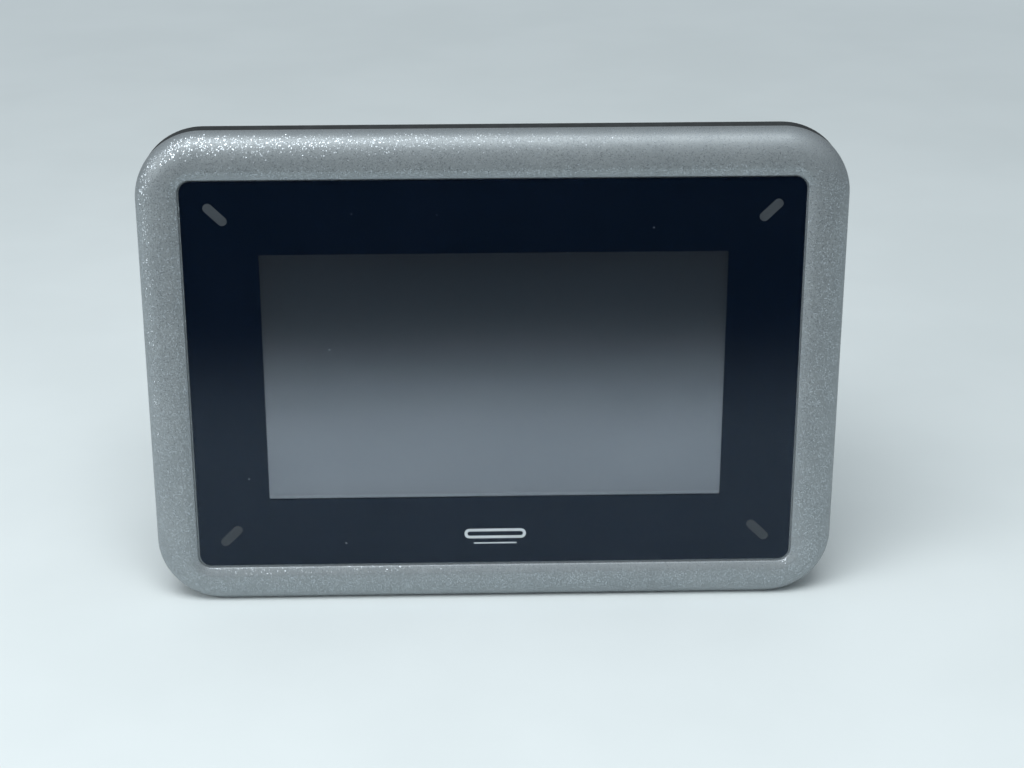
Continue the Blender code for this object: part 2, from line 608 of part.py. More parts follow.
def serial_port():
    """Nine-pole socket: steel shell with flange, insulator with nine holes, two hexagonal jack screws."""
    flange_y = around(SERIAL_Y, 6.25 * MM)
    flange_z = (FLOOR_Z, FLOOR_Z + 1.0 * MM)
    shell = block("serial_shell", around(SERIAL_X, 15.4 * MM), flange_y, flange_z, "steel", 1.0 * MM, 2, 2)
    mouth = FLOOR_Z - 5.8 * MM
    join(shell, d_block("d_outer", 17.0 * MM, 8.6 * MM, (mouth, FLOOR_Z + OVERLAP), 1.8 * MM))
    cut(shell, d_block("d_inner", 16.2 * MM, 7.8 * MM, (mouth - BEYOND, FLOOR_Z + 2.0 * MM), 1.5 * MM))
    body_z = (flange_z[1] + SLIP, FLOOR_Z + 12.0 * MM)
    insert = block("serial_insert", around(SERIAL_X, 15.0 * MM), mm(26.8, 39.0), body_z, "black_plastic")
    face = mouth + 0.4 * MM
    join(insert, d_block("d_insert", 15.6 * MM, 7.2 * MM, (face, body_z[0] + OVERLAP), 1.3 * MM))
    hole_z = (face - BEYOND, FLOOR_Z - 0.6 * MM)
    for count, y in ((5, SERIAL_Y + 1.42 * MM), (4, SERIAL_Y - 1.42 * MM)):
        for i in range(count):
            x = SERIAL_X + (i - (count - 1) / 2) * 2.77 * MM
            cut(insert, rod(f"pole_{count}_{i}", 0.6 * MM, 2, hole_z, (x, y), sides=8))
    for side, word in ((-1, "left"), (1, "right")):
        at = (SERIAL_X + side * JACK_OFFSET, SERIAL_Y)
        hole_z = (FLOOR_Z - BEYOND, FLOOR_Z + 8.0 * MM)
        cut(shell, rod(f"flange_hole_{word}", 1.65 * MM, 2, hole_z, at, sides=12))
        cut(insert, rod(f"insert_hole_{word}", 1.65 * MM, 2, hole_z, at, sides=12))
        end = FLOOR_Z - 5.0 * MM
        jack = rod(f"serial_jackscrew_{word}", 2.75 * MM, 2, (end, FLOOR_Z - SLIP), at, "zinc", sides=6)
        stud_z = (FLOOR_Z - 2 * OVERLAP, FLOOR_Z + 6.5 * MM)
        join(jack, rod(f"jack_stud_{word}", 1.3 * MM, 2, stud_z, at, sides=12))
        cut(jack, rod(f"jack_thread_{word}", 1.25 * MM, 2, (end - BEYOND, FLOOR_Z - 1.2 * MM), at, sides=12))


def power_header():
    """Board half of the supply connector: an open box with three pins."""
    header = block("power_header", around(POWER_X, 9.4 * MM), mm(26.7, 37.3), mm(-41.3, -29.3), "plug_green")
    cut(header, block("header_hollow", around(POWER_X, 8.4 * MM), mm(27.7, 36.3), mm(-43.0, -30.8)))
    for number, x in enumerate(POLES, 1):
        join(header, block(f"pin_{number}", around(x, 0.5 * MM), mm(31.5, 32.5), mm(-38.5, -30.0)))


def power_plug():
    """Pull-off plug with three rising wire clamps, each driven by its own screw."""
    body = (around(POWER_X, 8.2 * MM), mm(27.9, 40.0), mm(-49.8, -41.8))
    plug = block("power_plug", *body, "plug_green", corner=0.6 * MM, axis=0, steps=2)
    join(plug, block("plug_nose", around(POWER_X, 8.1 * MM), mm(28.0, 36.0), mm(-42.5, -31.2)))
    for number, x in enumerate(POLES, 1):
        axis_at = (x, CLAMP_Z)
        cut(plug, block(f"pin_socket_{number}", around(x, 0.9 * MM), mm(31.1, 32.9), mm(-39.5, -31.0)))
        cut(plug, block(f"clamp_space_{number}", around(x, 2.05 * MM), mm(29.1, 35.8), mm(-50.5, -43.2)))
        cut(plug, rod(f"screw_well_{number}", SCREW_WELL_RADIUS, 1, mm(37.4, 41.0), axis_at, sides=20))
        cut(plug, rod(f"screw_bore_{number}", 1.5 * MM, 1, mm(35.0, 38.0), axis_at, sides=12))
        at = (x, 39.4 * MM, CLAMP_Z)
        screw(f"power_screw_{number}", mm(1.85, 1.9), 1.25 * MM, 4.9 * MM, at, (0, 1, 0), slotted=True)
        clamp = block(f"wire_clamp_{number}", around(x, 1.85 * MM), mm(29.3, 34.0), mm(-48.6, -43.8), "zinc")
        cut(clamp, block(f"wire_way_{number}", around(x, 1.35 * MM), mm(29.9, 33.1), mm(-50.0, -42.0)))
        cut(clamp, rod(f"clamp_hole_{number}", 1.55 * MM, 1, mm(32.5, 35.0), axis_at))


def memory_slot():
    """Steel card socket on the board, and the memory card in it, with one corner cut off."""
    socket = block("card_socket", mm(-59.0, -28.4), mm(26.7, 30.2), around(CARD_Z, 14.1 * MM), "steel")
    cut(socket, block("card_space", mm(-60.0, -29.2), mm(27.2, 29.6), around(CARD_Z, 12.2 * MM)))
    length, thickness, width = CARD_SIZE
    card_x = (SIDE_X + 0.2 * MM, SIDE_X + 0.2 * MM + length)
    card_y = (27.35 * MM, 27.35 * MM + thickness)
    card = block("memory_card", card_x, card_y, around(CARD_Z, width / 2), "black_plastic")
    corner_at = (card_x[1], CARD_Z - width / 2)
    cut(card, rod("card_corner", 2.9 * MM, 1, mm(26.0, 31.0), corner_at, sides=4))


def mode_switches():
    """Block of slide switches that reaches through the left wall."""
    base_z = around(SWITCH_Z, 5.5 * MM)
    base = block("mode_switch_base", mm(-61.9, -54.5), mm(26.7, 32.3), base_z, "switch_red")
    for i in range(SWITCH_COUNT):
        z = SWITCH_Z + ((SWITCH_COUNT - 1) / 2 - i) * SWITCH_PITCH
        cut(base, block(f"slider_way_{i}", mm(-63.0, -60.6), mm(28.2, 31.4), around(z, 0.8 * MM)))
        slider = f"mode_switch_slider_{i + 1}"
        block(slider, mm(-62.3, -60.8), mm(28.4, 29.8), around(z, 0.6 * MM), "white_plastic")


def build():
    front_bezel()
    panel_gasket()
    touch_stack()
    display_module()
    shell = housing_shell()
    housing_supports(shell)
    housing_openings(shell)
    back_cover()
    fasteners()
    main_board()
    board_parts()
    lan_port()
    usb_port()
    serial_port()
    power_header()
    power_plug()
    memory_slot()
    mode_switches()


clear_scene()
PARTS = new_collection("touch_panel")
HELPERS = new_collection("helpers")
PAINTS = {name: make_material(name) for name in MATERIALS}
build()
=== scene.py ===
"""Looks of the touch panel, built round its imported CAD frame.

Shapes are written in millimetres in the frame's own axes: the origin is the centre of the touch surface, the
operator looks along +Y, X is to the operator's right and Z is up. Places come from the CAD nodes' boxes.
"""

import math

import bmesh
import bpy
from mathutils import Matrix, Vector


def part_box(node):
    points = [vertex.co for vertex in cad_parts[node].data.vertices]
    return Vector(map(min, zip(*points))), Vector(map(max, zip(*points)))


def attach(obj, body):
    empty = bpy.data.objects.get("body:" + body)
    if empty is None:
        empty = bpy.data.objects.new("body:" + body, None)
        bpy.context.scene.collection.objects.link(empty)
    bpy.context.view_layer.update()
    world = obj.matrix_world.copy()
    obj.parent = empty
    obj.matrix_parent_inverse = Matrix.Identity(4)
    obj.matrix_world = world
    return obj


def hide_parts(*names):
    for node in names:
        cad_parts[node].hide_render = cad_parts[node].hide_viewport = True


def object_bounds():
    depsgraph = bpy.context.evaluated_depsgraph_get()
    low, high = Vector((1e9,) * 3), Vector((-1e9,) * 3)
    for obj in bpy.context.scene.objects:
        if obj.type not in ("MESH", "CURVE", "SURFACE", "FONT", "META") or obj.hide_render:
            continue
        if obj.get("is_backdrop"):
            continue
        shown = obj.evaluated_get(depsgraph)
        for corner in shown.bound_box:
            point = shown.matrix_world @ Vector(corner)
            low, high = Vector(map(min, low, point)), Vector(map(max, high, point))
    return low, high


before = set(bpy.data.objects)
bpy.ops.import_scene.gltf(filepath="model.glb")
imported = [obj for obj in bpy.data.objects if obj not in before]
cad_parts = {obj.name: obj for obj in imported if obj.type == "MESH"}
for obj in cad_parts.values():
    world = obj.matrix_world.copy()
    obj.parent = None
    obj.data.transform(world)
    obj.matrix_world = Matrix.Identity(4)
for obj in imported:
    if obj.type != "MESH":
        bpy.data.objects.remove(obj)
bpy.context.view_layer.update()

MM = 0.001
PI = math.pi
BEYOND = 1.0  # how far a cutting shape runs past a surface
SHARP_ANGLE = math.radians(32)  # edges sharper than this aren't shaded smooth

# ---------------- shapes


def span(node):
    """((x0, x1), (y0, y1), (z0, z1)) of a CAD node, in millimetres."""
    low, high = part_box(node)
    return tuple((a / MM, b / MM) for a, b in zip(low, high))


def around(centre, half):
    return (centre - half, centre + half)


def middle(pair):
    return (pair[0] + pair[1]) / 2


def extent(pair):
    return pair[1] - pair[0]


def place(axis, u, v, t):
    """A point from its coordinates across an axis, in X, Y, Z order, and t along the axis."""
    point = [u, v]
    point.insert(axis, t)
    return Vector(point) * MM


def rounded(width, height, radius, steps=6, centre=(0.0, 0.0)):
    """Outline of a rounded rectangle."""
    radius = max(min(radius, width / 2 - 0.001, height / 2 - 0.001), 0.002)
    points = []
    for quarter, (side, up) in enumerate(((1, 1), (-1, 1), (-1, -1), (1, -1))):
        for step in range(steps + 1):
            angle = (quarter + step / steps) * PI / 2
            u = centre[0] + side * (width / 2 - radius) + radius * math.cos(angle)
            v = centre[1] + up * (height / 2 - radius) + radius * math.sin(angle)
            points.append((u, v))
    return points


def circle(radius, sides, centre):
    turns = [2 * PI * i / sides for i in range(sides)]
    return [(centre[0] + radius * math.cos(a), centre[1] + radius * math.sin(a)) for a in turns]


def loft(rings, axis=1, closed=False):
    """A bmesh skinned over rings; each ring is (points, t). Open lofts get a cap at each end."""
    shape = bmesh.new()
    loops = [[shape.verts.new(place(axis, u, v, t)) for u, v in points] for points, t in rings]
    following = loops[1:] + loops[:1] if closed else loops[1:]
    for ring, after in zip(loops, following):
        for i in range(len(ring)):
            j = (i + 1) % len(ring)
            shape.faces.new((ring[i], ring[j], after[j], after[i]))
    if not closed:
        shape.faces.new(loops[0])
        shape.faces.new(list(reversed(loops[-1])))
    bmesh.ops.recalc_face_normals(shape, faces=shape.faces)
    return shape


def soft_rings(width, height, t, corner, edge, steps=3, corner_steps=6, centre=(0.0, 0.0)):
    """Rings of a block whose edges are rounded at both ends."""
    first, last = [], []
    for k in range(steps + 1):
        angle = k / steps * PI / 2
        inset = edge * (1 - math.sin(angle))
        drop = edge * (1 - math.cos(angle))
        ring = rounded(width - 2 * inset, height - 2 * inset, corner - inset, corner_steps, centre)
        first.append((ring, t[0] + drop))
        last.append((ring, t[1] - drop))
    return first + last[::-1]


def soft(x, y, z, axis=1, corner=0.3, edge=0.15, steps=3, corner_steps=5):
    """A block with rounded edges: corner across the axis, edge at both of its ends."""
    spans = (x, y, z)
    across = [spans[i] for i in range(3) if i != axis]
    width, height = (extent(pair) for pair in across)
    centre = tuple(middle(pair) for pair in across)
    edge = min(edge, corner)
    return loft(soft_rings(width, height, spans[axis], corner, edge, steps, corner_steps, centre), axis)


def opening(width, height, t, corner, flare, axis, centre, steps=5):
    """A cutting shape whose mouth widens by flare. t is (inner end, the surface it opens in)."""
    outwards = math.copysign(1.0, t[1] - t[0])
    wide = rounded(width + 2 * flare, height + 2 * flare, corner + flare, steps, centre)
    narrow = rounded(width, height, corner, steps, centre)
    rings = [(narrow, t[0]), (narrow, t[1] - outwards * flare), (wide, t[1]), (wide, t[1] + outwards * BEYOND)]
    return loft(rings, axis)


def turned(profile, axis, at, sides=40):
    """A solid of revolution; profile lists (radius, t) from one end to the other."""
    return loft([(circle(max(r, 0.001), sides, at), t) for r, t in profile], axis)


def rod(radius, axis, t, at, sides):
    return turned([(radius, t[0]), (radius, t[1])], axis, at, sides)


def prism(points, axis, t):
    """A polygon drawn out along an axis."""
    return loft([(points, t[0]), (points, t[1])], axis)


def round_corners(points, radii, steps):
    """The polygon with each corner replaced by an arc of its own radius."""
    result = []
    for i, (point, radius) in enumerate(zip(points, radii)):
        here = Vector(point)
        before = (Vector(points[i - 1]) - here).normalized()
        after = (Vector(points[(i + 1) % len(points)]) - here).normalized()
        half = math.acos(max(-1.0, min(1.0, before.dot(after)))) / 2
        reach = radius / math.tan(half)
        centre = here + (before + after).normalized() * (radius / math.sin(half))
        first = here + before * reach - centre
        last = here + after * reach - centre
        turn = math.atan2(first.x * last.y - first.y * last.x, first.dot(last))
        for k in range(steps + 1):
            angle = turn * k / steps
            c, s = math.cos(angle), math.sin(angle)
            result.append((centre.x + first.x * c - first.y * s, centre.y + first.x * s + first.y * c))
    return result


def strip(path, thickness):
    """Outline of a bent strip of even thickness along a path of 2-D points."""
    half = thickness / 2
    left, right = [], []
    for i, point in enumerate(path):
        before = Vector(point) - Vector(path[max(i - 1, 0)])
        after = Vector(path[min(i + 1, len(path) - 1)]) - Vector(point)
        run = (before.normalized() + after.normalized()).normalized()
        left.append((point[0] - run.y * half, point[1] + run.x * half))
        right.append((point[0] + run.y * half, point[1] - run.x * half))
    return left + right[::-1]


def together(shapes):
    """One bmesh that holds several shapes that don't touch."""
    whole = bmesh.new()
    for shape in shapes:
        mesh = bpy.data.meshes.new("part")
        shape.to_mesh(mesh)
        shape.free()
        whole.from_mesh(mesh)
        bpy.data.meshes.remove(mesh)
    return whole


def link(name, data):
    obj = bpy.data.objects.new(name, data)
    bpy.context.scene.collection.objects.link(obj)
    return obj


def solid(shape, name="cutter"):
    mesh = bpy.data.meshes.new(name)
    shape.to_mesh(mesh)
    shape.free()
    return link(name, mesh)


def cut(*shapes):
    return ("DIFFERENCE", shapes)


def join(*shapes):
    return ("UNION", shapes)


def carve(obj, steps):
    """Applies Booleans in turn; each step is (operation, shapes that don't touch each other)."""
    helpers = [solid(together(shapes)) for _, shapes in steps]
    for (operation, _), helper in zip(steps, helpers):
        modifier = obj.modifiers.new("step", "BOOLEAN")
        modifier.operation = operation
        modifier.object = helper
        modifier.solver = "EXACT"
    graph = bpy.context.evaluated_depsgraph_get()
    mesh = bpy.data.meshes.new_from_object(obj.evaluated_get(graph))
    obj.modifiers.clear()
    obj.data = mesh
    for helper in helpers:
        bpy.data.objects.remove(helper)


def smooth(mesh):
    """Shades the mesh smooth, except across its sharp edges, and drops what a Boolean left over."""
    shape = bmesh.new()
    shape.from_mesh(mesh)
    bmesh.ops.remove_doubles(shape, verts=shape.verts, dist=1e-7)
    bmesh.ops.dissolve_degenerate(shape, edges=shape.edges, dist=1e-8)
    for face in shape.faces:
        face.smooth = True
    for edge in shape.edges:
        edge.smooth = len(edge.link_faces) == 2 and edge.calc_face_angle(0.0) < SHARP_ANGLE
    shape.to_mesh(mesh)
    shape.free()


def piece(name, shape, paint, slot, *instead_of, steps=(), body="panel"):
    """A finished piece: shape, Boolean steps, looks, body, and the CAD nodes that it stands for."""
    obj = solid(shape, name)
    if steps:
        carve(obj, steps)
    smooth(obj.data)
    obj.data.materials.clear()
    obj.data.materials.append(paint)
    even = obj.modifiers.new("even", "WEIGHTED_NORMAL")
    even.keep_sharp = True
    even.weight = 80
    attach(obj, body)
    if instead_of:
        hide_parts(*instead_of)


def keep(node, paint, edge):
    """Finishes a CAD node in place: broken edges and a procedural material."""
    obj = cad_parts[node]
    weld = obj.modifiers.new("weld", "WELD")
    weld.merge_threshold = 1e-7
    if edge:
        soften = obj.modifiers.new("edges", "BEVEL")
        soften.width = edge * MM
        soften.segments = 2
        soften.limit_method = "ANGLE"
        soften.angle_limit = math.radians(50)
    obj.data.materials.clear()
    obj.data.materials.append(paint)
    for face in obj.data.polygons:
        face.use_smooth = False


# ---------------- paint


class Paint:
    """A node tree under construction; the coordinates are in metres and ride with the piece."""

    def __init__(self, name, owner=None):
        self.owner = owner or bpy.data.materials.new(name)
        self.owner.use_nodes = True
        self.tree = self.owner.node_tree
        self.tree.nodes.clear()
        self.places = self.node("TexCoord").outputs
        self.coords = self.places["Object"]

    def node(self, kind, inputs=(), **settings):
        made = self.tree.nodes.new("ShaderNode" + kind)
        for key, value in settings.items():
            setattr(made, key, value)
        for key, value in dict(inputs).items():
            socket = made.inputs[key]
            if isinstance(value, bpy.types.NodeSocket):
                self.tree.links.new(value, socket)
            elif socket.type == "RGBA":
                socket.default_value = (*value, 1.0)
            elif value is not None:
                socket.default_value = value
        return made

    def out(self, *args, **settings):
        return self.node(*args, **settings).outputs[0]

    def math(self, operation, a, b=0.0):
        return self.out("Math", {0: a, 1: b}, operation=operation)

    def times(self, a, b):
        return self.math("MULTIPLY", a, b)

    def vector(self, operation, a, b=(0.0, 0.0, 0.0), scale=1.0):
        return self.out("VectorMath", {0: a, 1: b, 3: scale}, operation=operation)

    def split(self, vector):
        return self.node("SeparateXYZ", {0: vector}).outputs

    def x_and_z(self):
        """The X and Z coordinates in millimetres."""
        x, _, z = self.split(self.coords)
        return self.math("DIVIDE", x, MM), self.math("DIVIDE", z, MM)

    def outside(self, point, centre, half):
        """How far a point lies outside an upright rectangle of the given half sizes; negative inside it."""
        gaps = []
        for value, at, reach in zip(point, centre, half):
            gaps.append(self.math("SUBTRACT", self.math("ABSOLUTE", self.math("SUBTRACT", value, at)), reach))
        return self.math("MAXIMUM", *gaps)

    def mapped(self, **change):
        return self.out("Mapping", {"Vector": self.coords, **change})

    def noise(self, size, detail=2.0, stretch=None):
        """Noise whose features are about size millimetres wide."""
        vector = self.mapped(Scale=stretch) if stretch else self.coords
        inputs = {"Vector": vector, "Scale": 1 / (size * MM), "Detail": detail}
        return self.node("TexNoise", inputs).outputs["Fac"]

    def cells(self, size, vector=None):
        inputs = {"Vector": vector or self.coords, "Scale": 1 / (size * MM)}
        return self.node("TexVoronoi", inputs, feature="F1").outputs

    def between(self, value, low, high, to_low=0.0, to_high=1.0):
        inputs = {"Value": value, "From Min": low, "From Max": high, "To Min": to_low, "To Max": to_high}
        return self.out("MapRange", inputs, interpolation_type="SMOOTHSTEP")

    def blend(self, factor, a, b):
        return self.node("Mix", {0: factor, 6: a, 7: b}, data_type="RGBA").outputs[2]

    def mottled(self, noise, a, b):
        return self.blend(self.between(noise, 0.3, 0.7), a, b)

    def relief(self, height, depth, normal=None):
        """Bump of a given depth in millimetres."""
        inputs = {"Height": height, "Distance": depth * MM, "Strength": 1.0, "Normal": normal}
        return self.node("Bump", inputs).outputs["Normal"]

    def backfacing(self):
        return self.node("NewGeometry").outputs["Backfacing"]

    def reflectance(self, ior):
        """Fresnel share of a clear sheet's front faces; its rear faces reflect nothing more."""
        front = self.math("SUBTRACT", 1.0, self.backfacing())
        return self.times(self.out("Fresnel", {"IOR": ior}), front)

    def soft_edges(self, radius):
        return self.out("Bevel", {"Radius": radius * MM}, samples=4)

    def body(self, colour, roughness, metallic=0.0, normal=None, specular=0.5):
        inputs = {"Base Color": colour, "Roughness": roughness, "Metallic": metallic}
        inputs.update({"Normal": normal, "Specular IOR Level": specular})
        return self.out("BsdfPrincipled", inputs)

    def gloss(self, colour, roughness):
        return self.out("BsdfGlossy", {"Color": colour, "Roughness": roughness})

    def clear(self, colour):
        return self.out("BsdfTransparent", {"Color": colour})

    def matt(self, colour):
        return self.out("BsdfDiffuse", {"Color": colour})

    def added(self, a, b):
        return self.out("AddShader", {0: a, 1: b})

    def mixed(self, factor, a, b):
        return self.out("MixShader", {0: factor, 1: a, 2: b})

    def done(self, shader, kind="Material"):
        self.node("Output" + kind, {"Surface": shader})
        return self.owner


def tint(colour, amount):
    return tuple(c * amount for c in colour)


def silver_paint():
    """Fine-textured silver powder coat: soft grey with bright metal flakes at small random tilts."""
    p = Paint("silver_coat")
    grain = p.noise(0.35)
    tone = p.math("ADD", p.times(p.noise(9.0, 3.0), 0.5), p.times(grain, 0.5))
    colour = p.mottled(tone, (0.235, 0.262, 0.276), (0.272, 0.299, 0.311))
    edges = p.soft_edges(0.12)
    texture = p.relief(p.noise(0.3, 3.0), 0.005, edges)
    base = p.body(colour, p.between(grain, 0.3, 0.7, 0.44, 0.56), 0.45, texture)
    specks = p.cells(0.17)["Color"]
    tilt = p.vector("SUBTRACT", specks, (0.5, 0.5, 0.5))
    leaning = p.vector("NORMALIZE", p.vector("ADD", edges, p.vector("SCALE", tilt, scale=0.6)))
    flake = p.body((0.62, 0.68, 0.73), 0.2, 1.0, leaning)
    return p.done(p.mixed(p.times(p.between(p.split(specks)[0], 0.68, 0.78), 0.42), base, flake))


def moulded(name, colour, roughness=0.45, grain=0.008, size=0.25):
    """Injection-moulded plastic with a fine spark-eroded grain and slight unevenness of tone."""
    p = Paint(name)
    fine, broad = p.noise(size), p.noise(6.0)
    tone = p.math("ADD", p.times(fine, 0.4), p.times(broad, 0.6))
    shade = p.mottled(tone, tint(colour, 0.86), tint(colour, 1.12))
    rough = p.between(broad, 0.3, 0.7, roughness - 0.06, roughness + 0.08)
    return p.done(p.body(shade, rough, 0.0, p.relief(fine, grain, p.soft_edges(0.1))))


def metal(name, colour, roughness=0.3, brush=(1, 1, 12), size=0.4):
    """Rolled or plated metal: streaks along one direction, patches of duller and slightly warmer plating."""
    p = Paint(name)
    streak = p.noise(size, 3.0, brush)
    patch = p.noise(4.0, 3.0)
    warm = (colour[0] * 1.02, colour[1] * 0.97, colour[2] * 0.88)
    shade = p.blend(p.between(streak, 0.25, 0.75), tint(colour, 0.88), tint(colour, 1.06))
    shade = p.blend(p.times(p.between(patch, 0.45, 0.75), 0.48), shade, warm)
    rough = p.between(streak, 0.2, 0.8, roughness - 0.07, roughness + 0.08)
    rough = p.math("ADD", rough, p.between(patch, 0.4, 0.8, 0.0, 0.12))
    return p.done(p.body(shade, rough, 1.0, p.relief(streak, 0.003, p.soft_edges(0.08))))


def rubber_paint():
    p = Paint("rubber")
    fine = p.noise(0.12, 3.0)
    shade = p.mottled(p.noise(3.0, 3.0), (0.010, 0.013, 0.014), (0.018, 0.022, 0.024))
    dusty = p.blend(p.between(p.noise(0.8, 4.0), 0.6, 0.8, 0.0, 0.25), shade, (0.07, 0.08, 0.08))
    return p.done(p.body(dusty, p.between(fine, 0.3, 0.7, 0.65, 0.9), 0.0, p.relief(fine, 0.02)))


FILM_IOR = 1.6


def wiped(p):
    """Roughness of the overlay's front, with faint wipe marks."""
    return p.between(p.noise(14.0, 3.0, (0.35, 1.0, 1.0)), 0.3, 0.7, 0.10, 0.14)


def print_paint():
    """Blue-black ink behind the overlay's film; it carries most of the film's gloss."""
    p = Paint("overlay_ink")
    shade = p.mottled(p.noise(20.0), (0.0014, 0.0040, 0.0100), (0.0020, 0.0048, 0.0116))
    sheen = p.blend(p.reflectance(FILM_IOR), (0.0, 0.0, 0.0), (0.42, 0.50, 0.60))
    return p.done(p.added(p.matt(shade), p.gloss(sheen, wiped(p))))


def film_paint():
    """Clear polyester film: a weak gloss with faint wipe marks, and a few motes of dust."""
    p = Paint("overlay_film")
    gloss = p.gloss((0.48, 0.58, 0.73), wiped(p))
    surface = p.mixed(p.times(p.reflectance(FILM_IOR), 0.1), p.clear((0.985, 0.99, 0.995)), gloss)
    dots = p.cells(7.0)
    lucky = p.math("GREATER_THAN", p.split(dots["Color"])[1], 0.88)
    mote = p.times(p.math("LESS_THAN", dots["Distance"], 0.028), lucky)
    return p.done(p.mixed(p.times(mote, 0.5), surface, p.body((0.30, 0.33, 0.36), 0.9)))


def acrylic_paint():
    """Clear sheet of the light guide."""
    p = Paint("acrylic")
    gloss = p.gloss((1, 1, 1), p.between(p.noise(9.0, 3.0), 0.3, 0.7, 0.05, 0.08))
    return p.done(p.mixed(p.times(p.reflectance(1.5), 0.6), p.clear((0.9, 0.93, 0.92)), gloss))


HAZE_ROUGHNESS = 0.17


def haze(p, low, high):
    """Cloudy grey sheen of the window."""
    return p.mottled(p.noise(22.0, 3.0, (0.5, 1.0, 1.2)), low, high)


def touch_paint():
    """Glass under a hazy conductive film, whose front gives most of the grey sheen in the window."""
    p = Paint("touch_glass")
    sheen = haze(p, (0.203, 0.216, 0.240), (0.224, 0.237, 0.262))
    seen = p.blend(p.backfacing(), sheen, (0.004, 0.004, 0.004))
    return p.done(p.added(p.gloss(seen, HAZE_ROUGHNESS), p.clear((0.45, 0.455, 0.455))))


def screen_paint(active, centre_z, lip_highlight_below):
    """Grey polariser of a display that is off; its active area scatters a little more light. Below the given height
    a pale band is painted on: a painted highlight of the display frame's lip.
    """
    p = Paint("polariser")
    point = p.x_and_z()
    border = p.between(p.outside(point, (0.0, centre_z), (active[0] / 2, active[1] / 2)), -0.1, 0.1)
    sheen = haze(p, (0.158, 0.170, 0.189), (0.185, 0.198, 0.217))
    sheen = p.blend(border, sheen, (0.130, 0.142, 0.160))
    # painted highlight: a pale band below the given height stands in for the lit lip of the display's frame
    edge = p.between(point[1], lip_highlight_below, lip_highlight_below - 0.2)
    tone = p.blend(border, (0.105, 0.165, 0.230), (0.097, 0.152, 0.212))
    scatter = p.body(p.blend(edge, tone, (0.50, 0.56, 0.60)), 0.5)
    return p.done(p.added(p.gloss(sheen, HAZE_ROUGHNESS), scatter))


def board_paint():
    """Green solder mask over copper: fine traces, plated holes and pads in a loose grid."""
    p = Paint("board")
    flat = p.mapped(Rotation=(PI / 2, 0.0, 0.0))
    bricks = {"Vector": flat, "Scale": 260.0, "Mortar Size": 0.03, "Brick Width": 1.7, "Row Height": 0.32}
    lanes = p.node("TexBrick", bricks).outputs["Fac"]
    ring = p.between(p.cells(3.1, flat)["Distance"], 0.10, 0.12, 1.0, 0.0)
    mask = p.blend(p.noise(8.0), (0.008, 0.060, 0.024), (0.012, 0.085, 0.034))
    shade = p.blend(ring, p.blend(lanes, mask, (0.030, 0.170, 0.070)), (0.62, 0.58, 0.45))
    return p.done(p.body(shade, p.between(ring, 0.0, 1.0, 0.28, 0.35), ring, p.relief(lanes, 0.02)))


def flex_paint():
    """Amber polyimide with copper conductors that show through it."""
    p = Paint("flex")
    x = p.split(p.coords)[0]
    line = p.between(p.math("PINGPONG", p.math("DIVIDE", x, 0.5 * MM), 0.5), 0.2, 0.3)
    shade = p.blend(line, (0.30, 0.115, 0.020), (0.52, 0.24, 0.06))
    return p.done(p.body(shade, 0.32, p.times(line, 0.5), p.relief(line, 0.02)))


def label_paint(x, z):
    """Satin foil label with a plain printed frame and empty fields, no lettering."""
    p = Paint("label")
    point = p.x_and_z()
    cx, cz, half_x, half_z = middle(x), middle(z), extent(x) / 2, extent(z) / 2
    streak = p.noise(0.3, 3.0, (0.06, 1.0, 1.0))
    foil = p.blend(p.between(streak, 0.25, 0.75), (0.60, 0.61, 0.62), (0.72, 0.73, 0.735))

    def bar(at_z, reach_x, reach_z):
        return p.between(p.outside(point, (cx, at_z), (reach_x, reach_z)), -0.02, 0.02, 1.0, 0.0)

    outer, inner = (bar(cz, half_x - inset, half_z - inset) for inset in (1.6, 1.9))
    ink = p.math("SUBTRACT", outer, inner)
    for row in range(4):
        ink = p.math("MAXIMUM", ink, bar(cz + half_z - 9.0 - row * 7.0, half_x - 4.5, 0.14))
    shade = p.blend(ink, foil, (0.03, 0.032, 0.035))
    metallic = p.times(p.math("SUBTRACT", 1.0, ink), 0.75)
    return p.done(p.body(shade, p.between(streak, 0.2, 0.8, 0.3, 0.44), metallic, p.relief(streak, 0.002)))


# ---------------- front

BEZEL_CORNER = (14.0, 2.8)  # radius of the outline, and of the overlay's pocket
INSET_RIM = 7.2  # inner edge of the rim behind, and of the gasket
INSET_OVERLAY = 8.8
INSET_GLASS = 16.5
RIM_BACK = 4.4
LEDGE_BACK = 2.4
CROWN_Y = -1.0
EDGE_ROUND = (6.3, 4.0)  # width and depth of the quarter ellipse round the outside
RELIEF_HALF = 41.7
FRAME_SCREW_AT = (40.0, 36.7)
CORNERS = ((-1, 1), (1, 1), (-1, -1), (1, -1))


def at_corners(at):
    return [(side * at[0], up * at[1]) for side, up in CORNERS]


def bezel_section():
    """(inset, y) round the frame's section, from the rear outer edge over the crown to the rear inner edge."""
    points = [(0.25, RIM_BACK), (0.07, RIM_BACK - 0.07), (0.0, RIM_BACK - 0.25), (0.0, 3.3)]
    steps = 22
    for k in range(steps + 1):
        angle = k / steps * PI / 2
        points.append((EDGE_ROUND[0] * (1 - math.cos(angle)), CROWN_Y + EDGE_ROUND[1] * (1 - math.sin(angle))))
    points += [(6.9, -0.97), (7.2, -0.90), (7.45, -0.80), (7.8, -0.66)]
    points += [(8.2, -0.47), (8.5, -0.32), (8.64, -0.24), (8.74, -0.16), (INSET_OVERLAY, -0.04)]
    points += [(INSET_OVERLAY, 0.5), (INSET_GLASS, 0.5), (INSET_GLASS, LEDGE_BACK)]
    points += [(INSET_RIM + 0.3, LEDGE_BACK)]
    points += [(INSET_RIM, LEDGE_BACK + 0.3), (INSET_RIM, RIM_BACK - 0.15), (INSET_RIM - 0.15, RIM_BACK)]
    return points


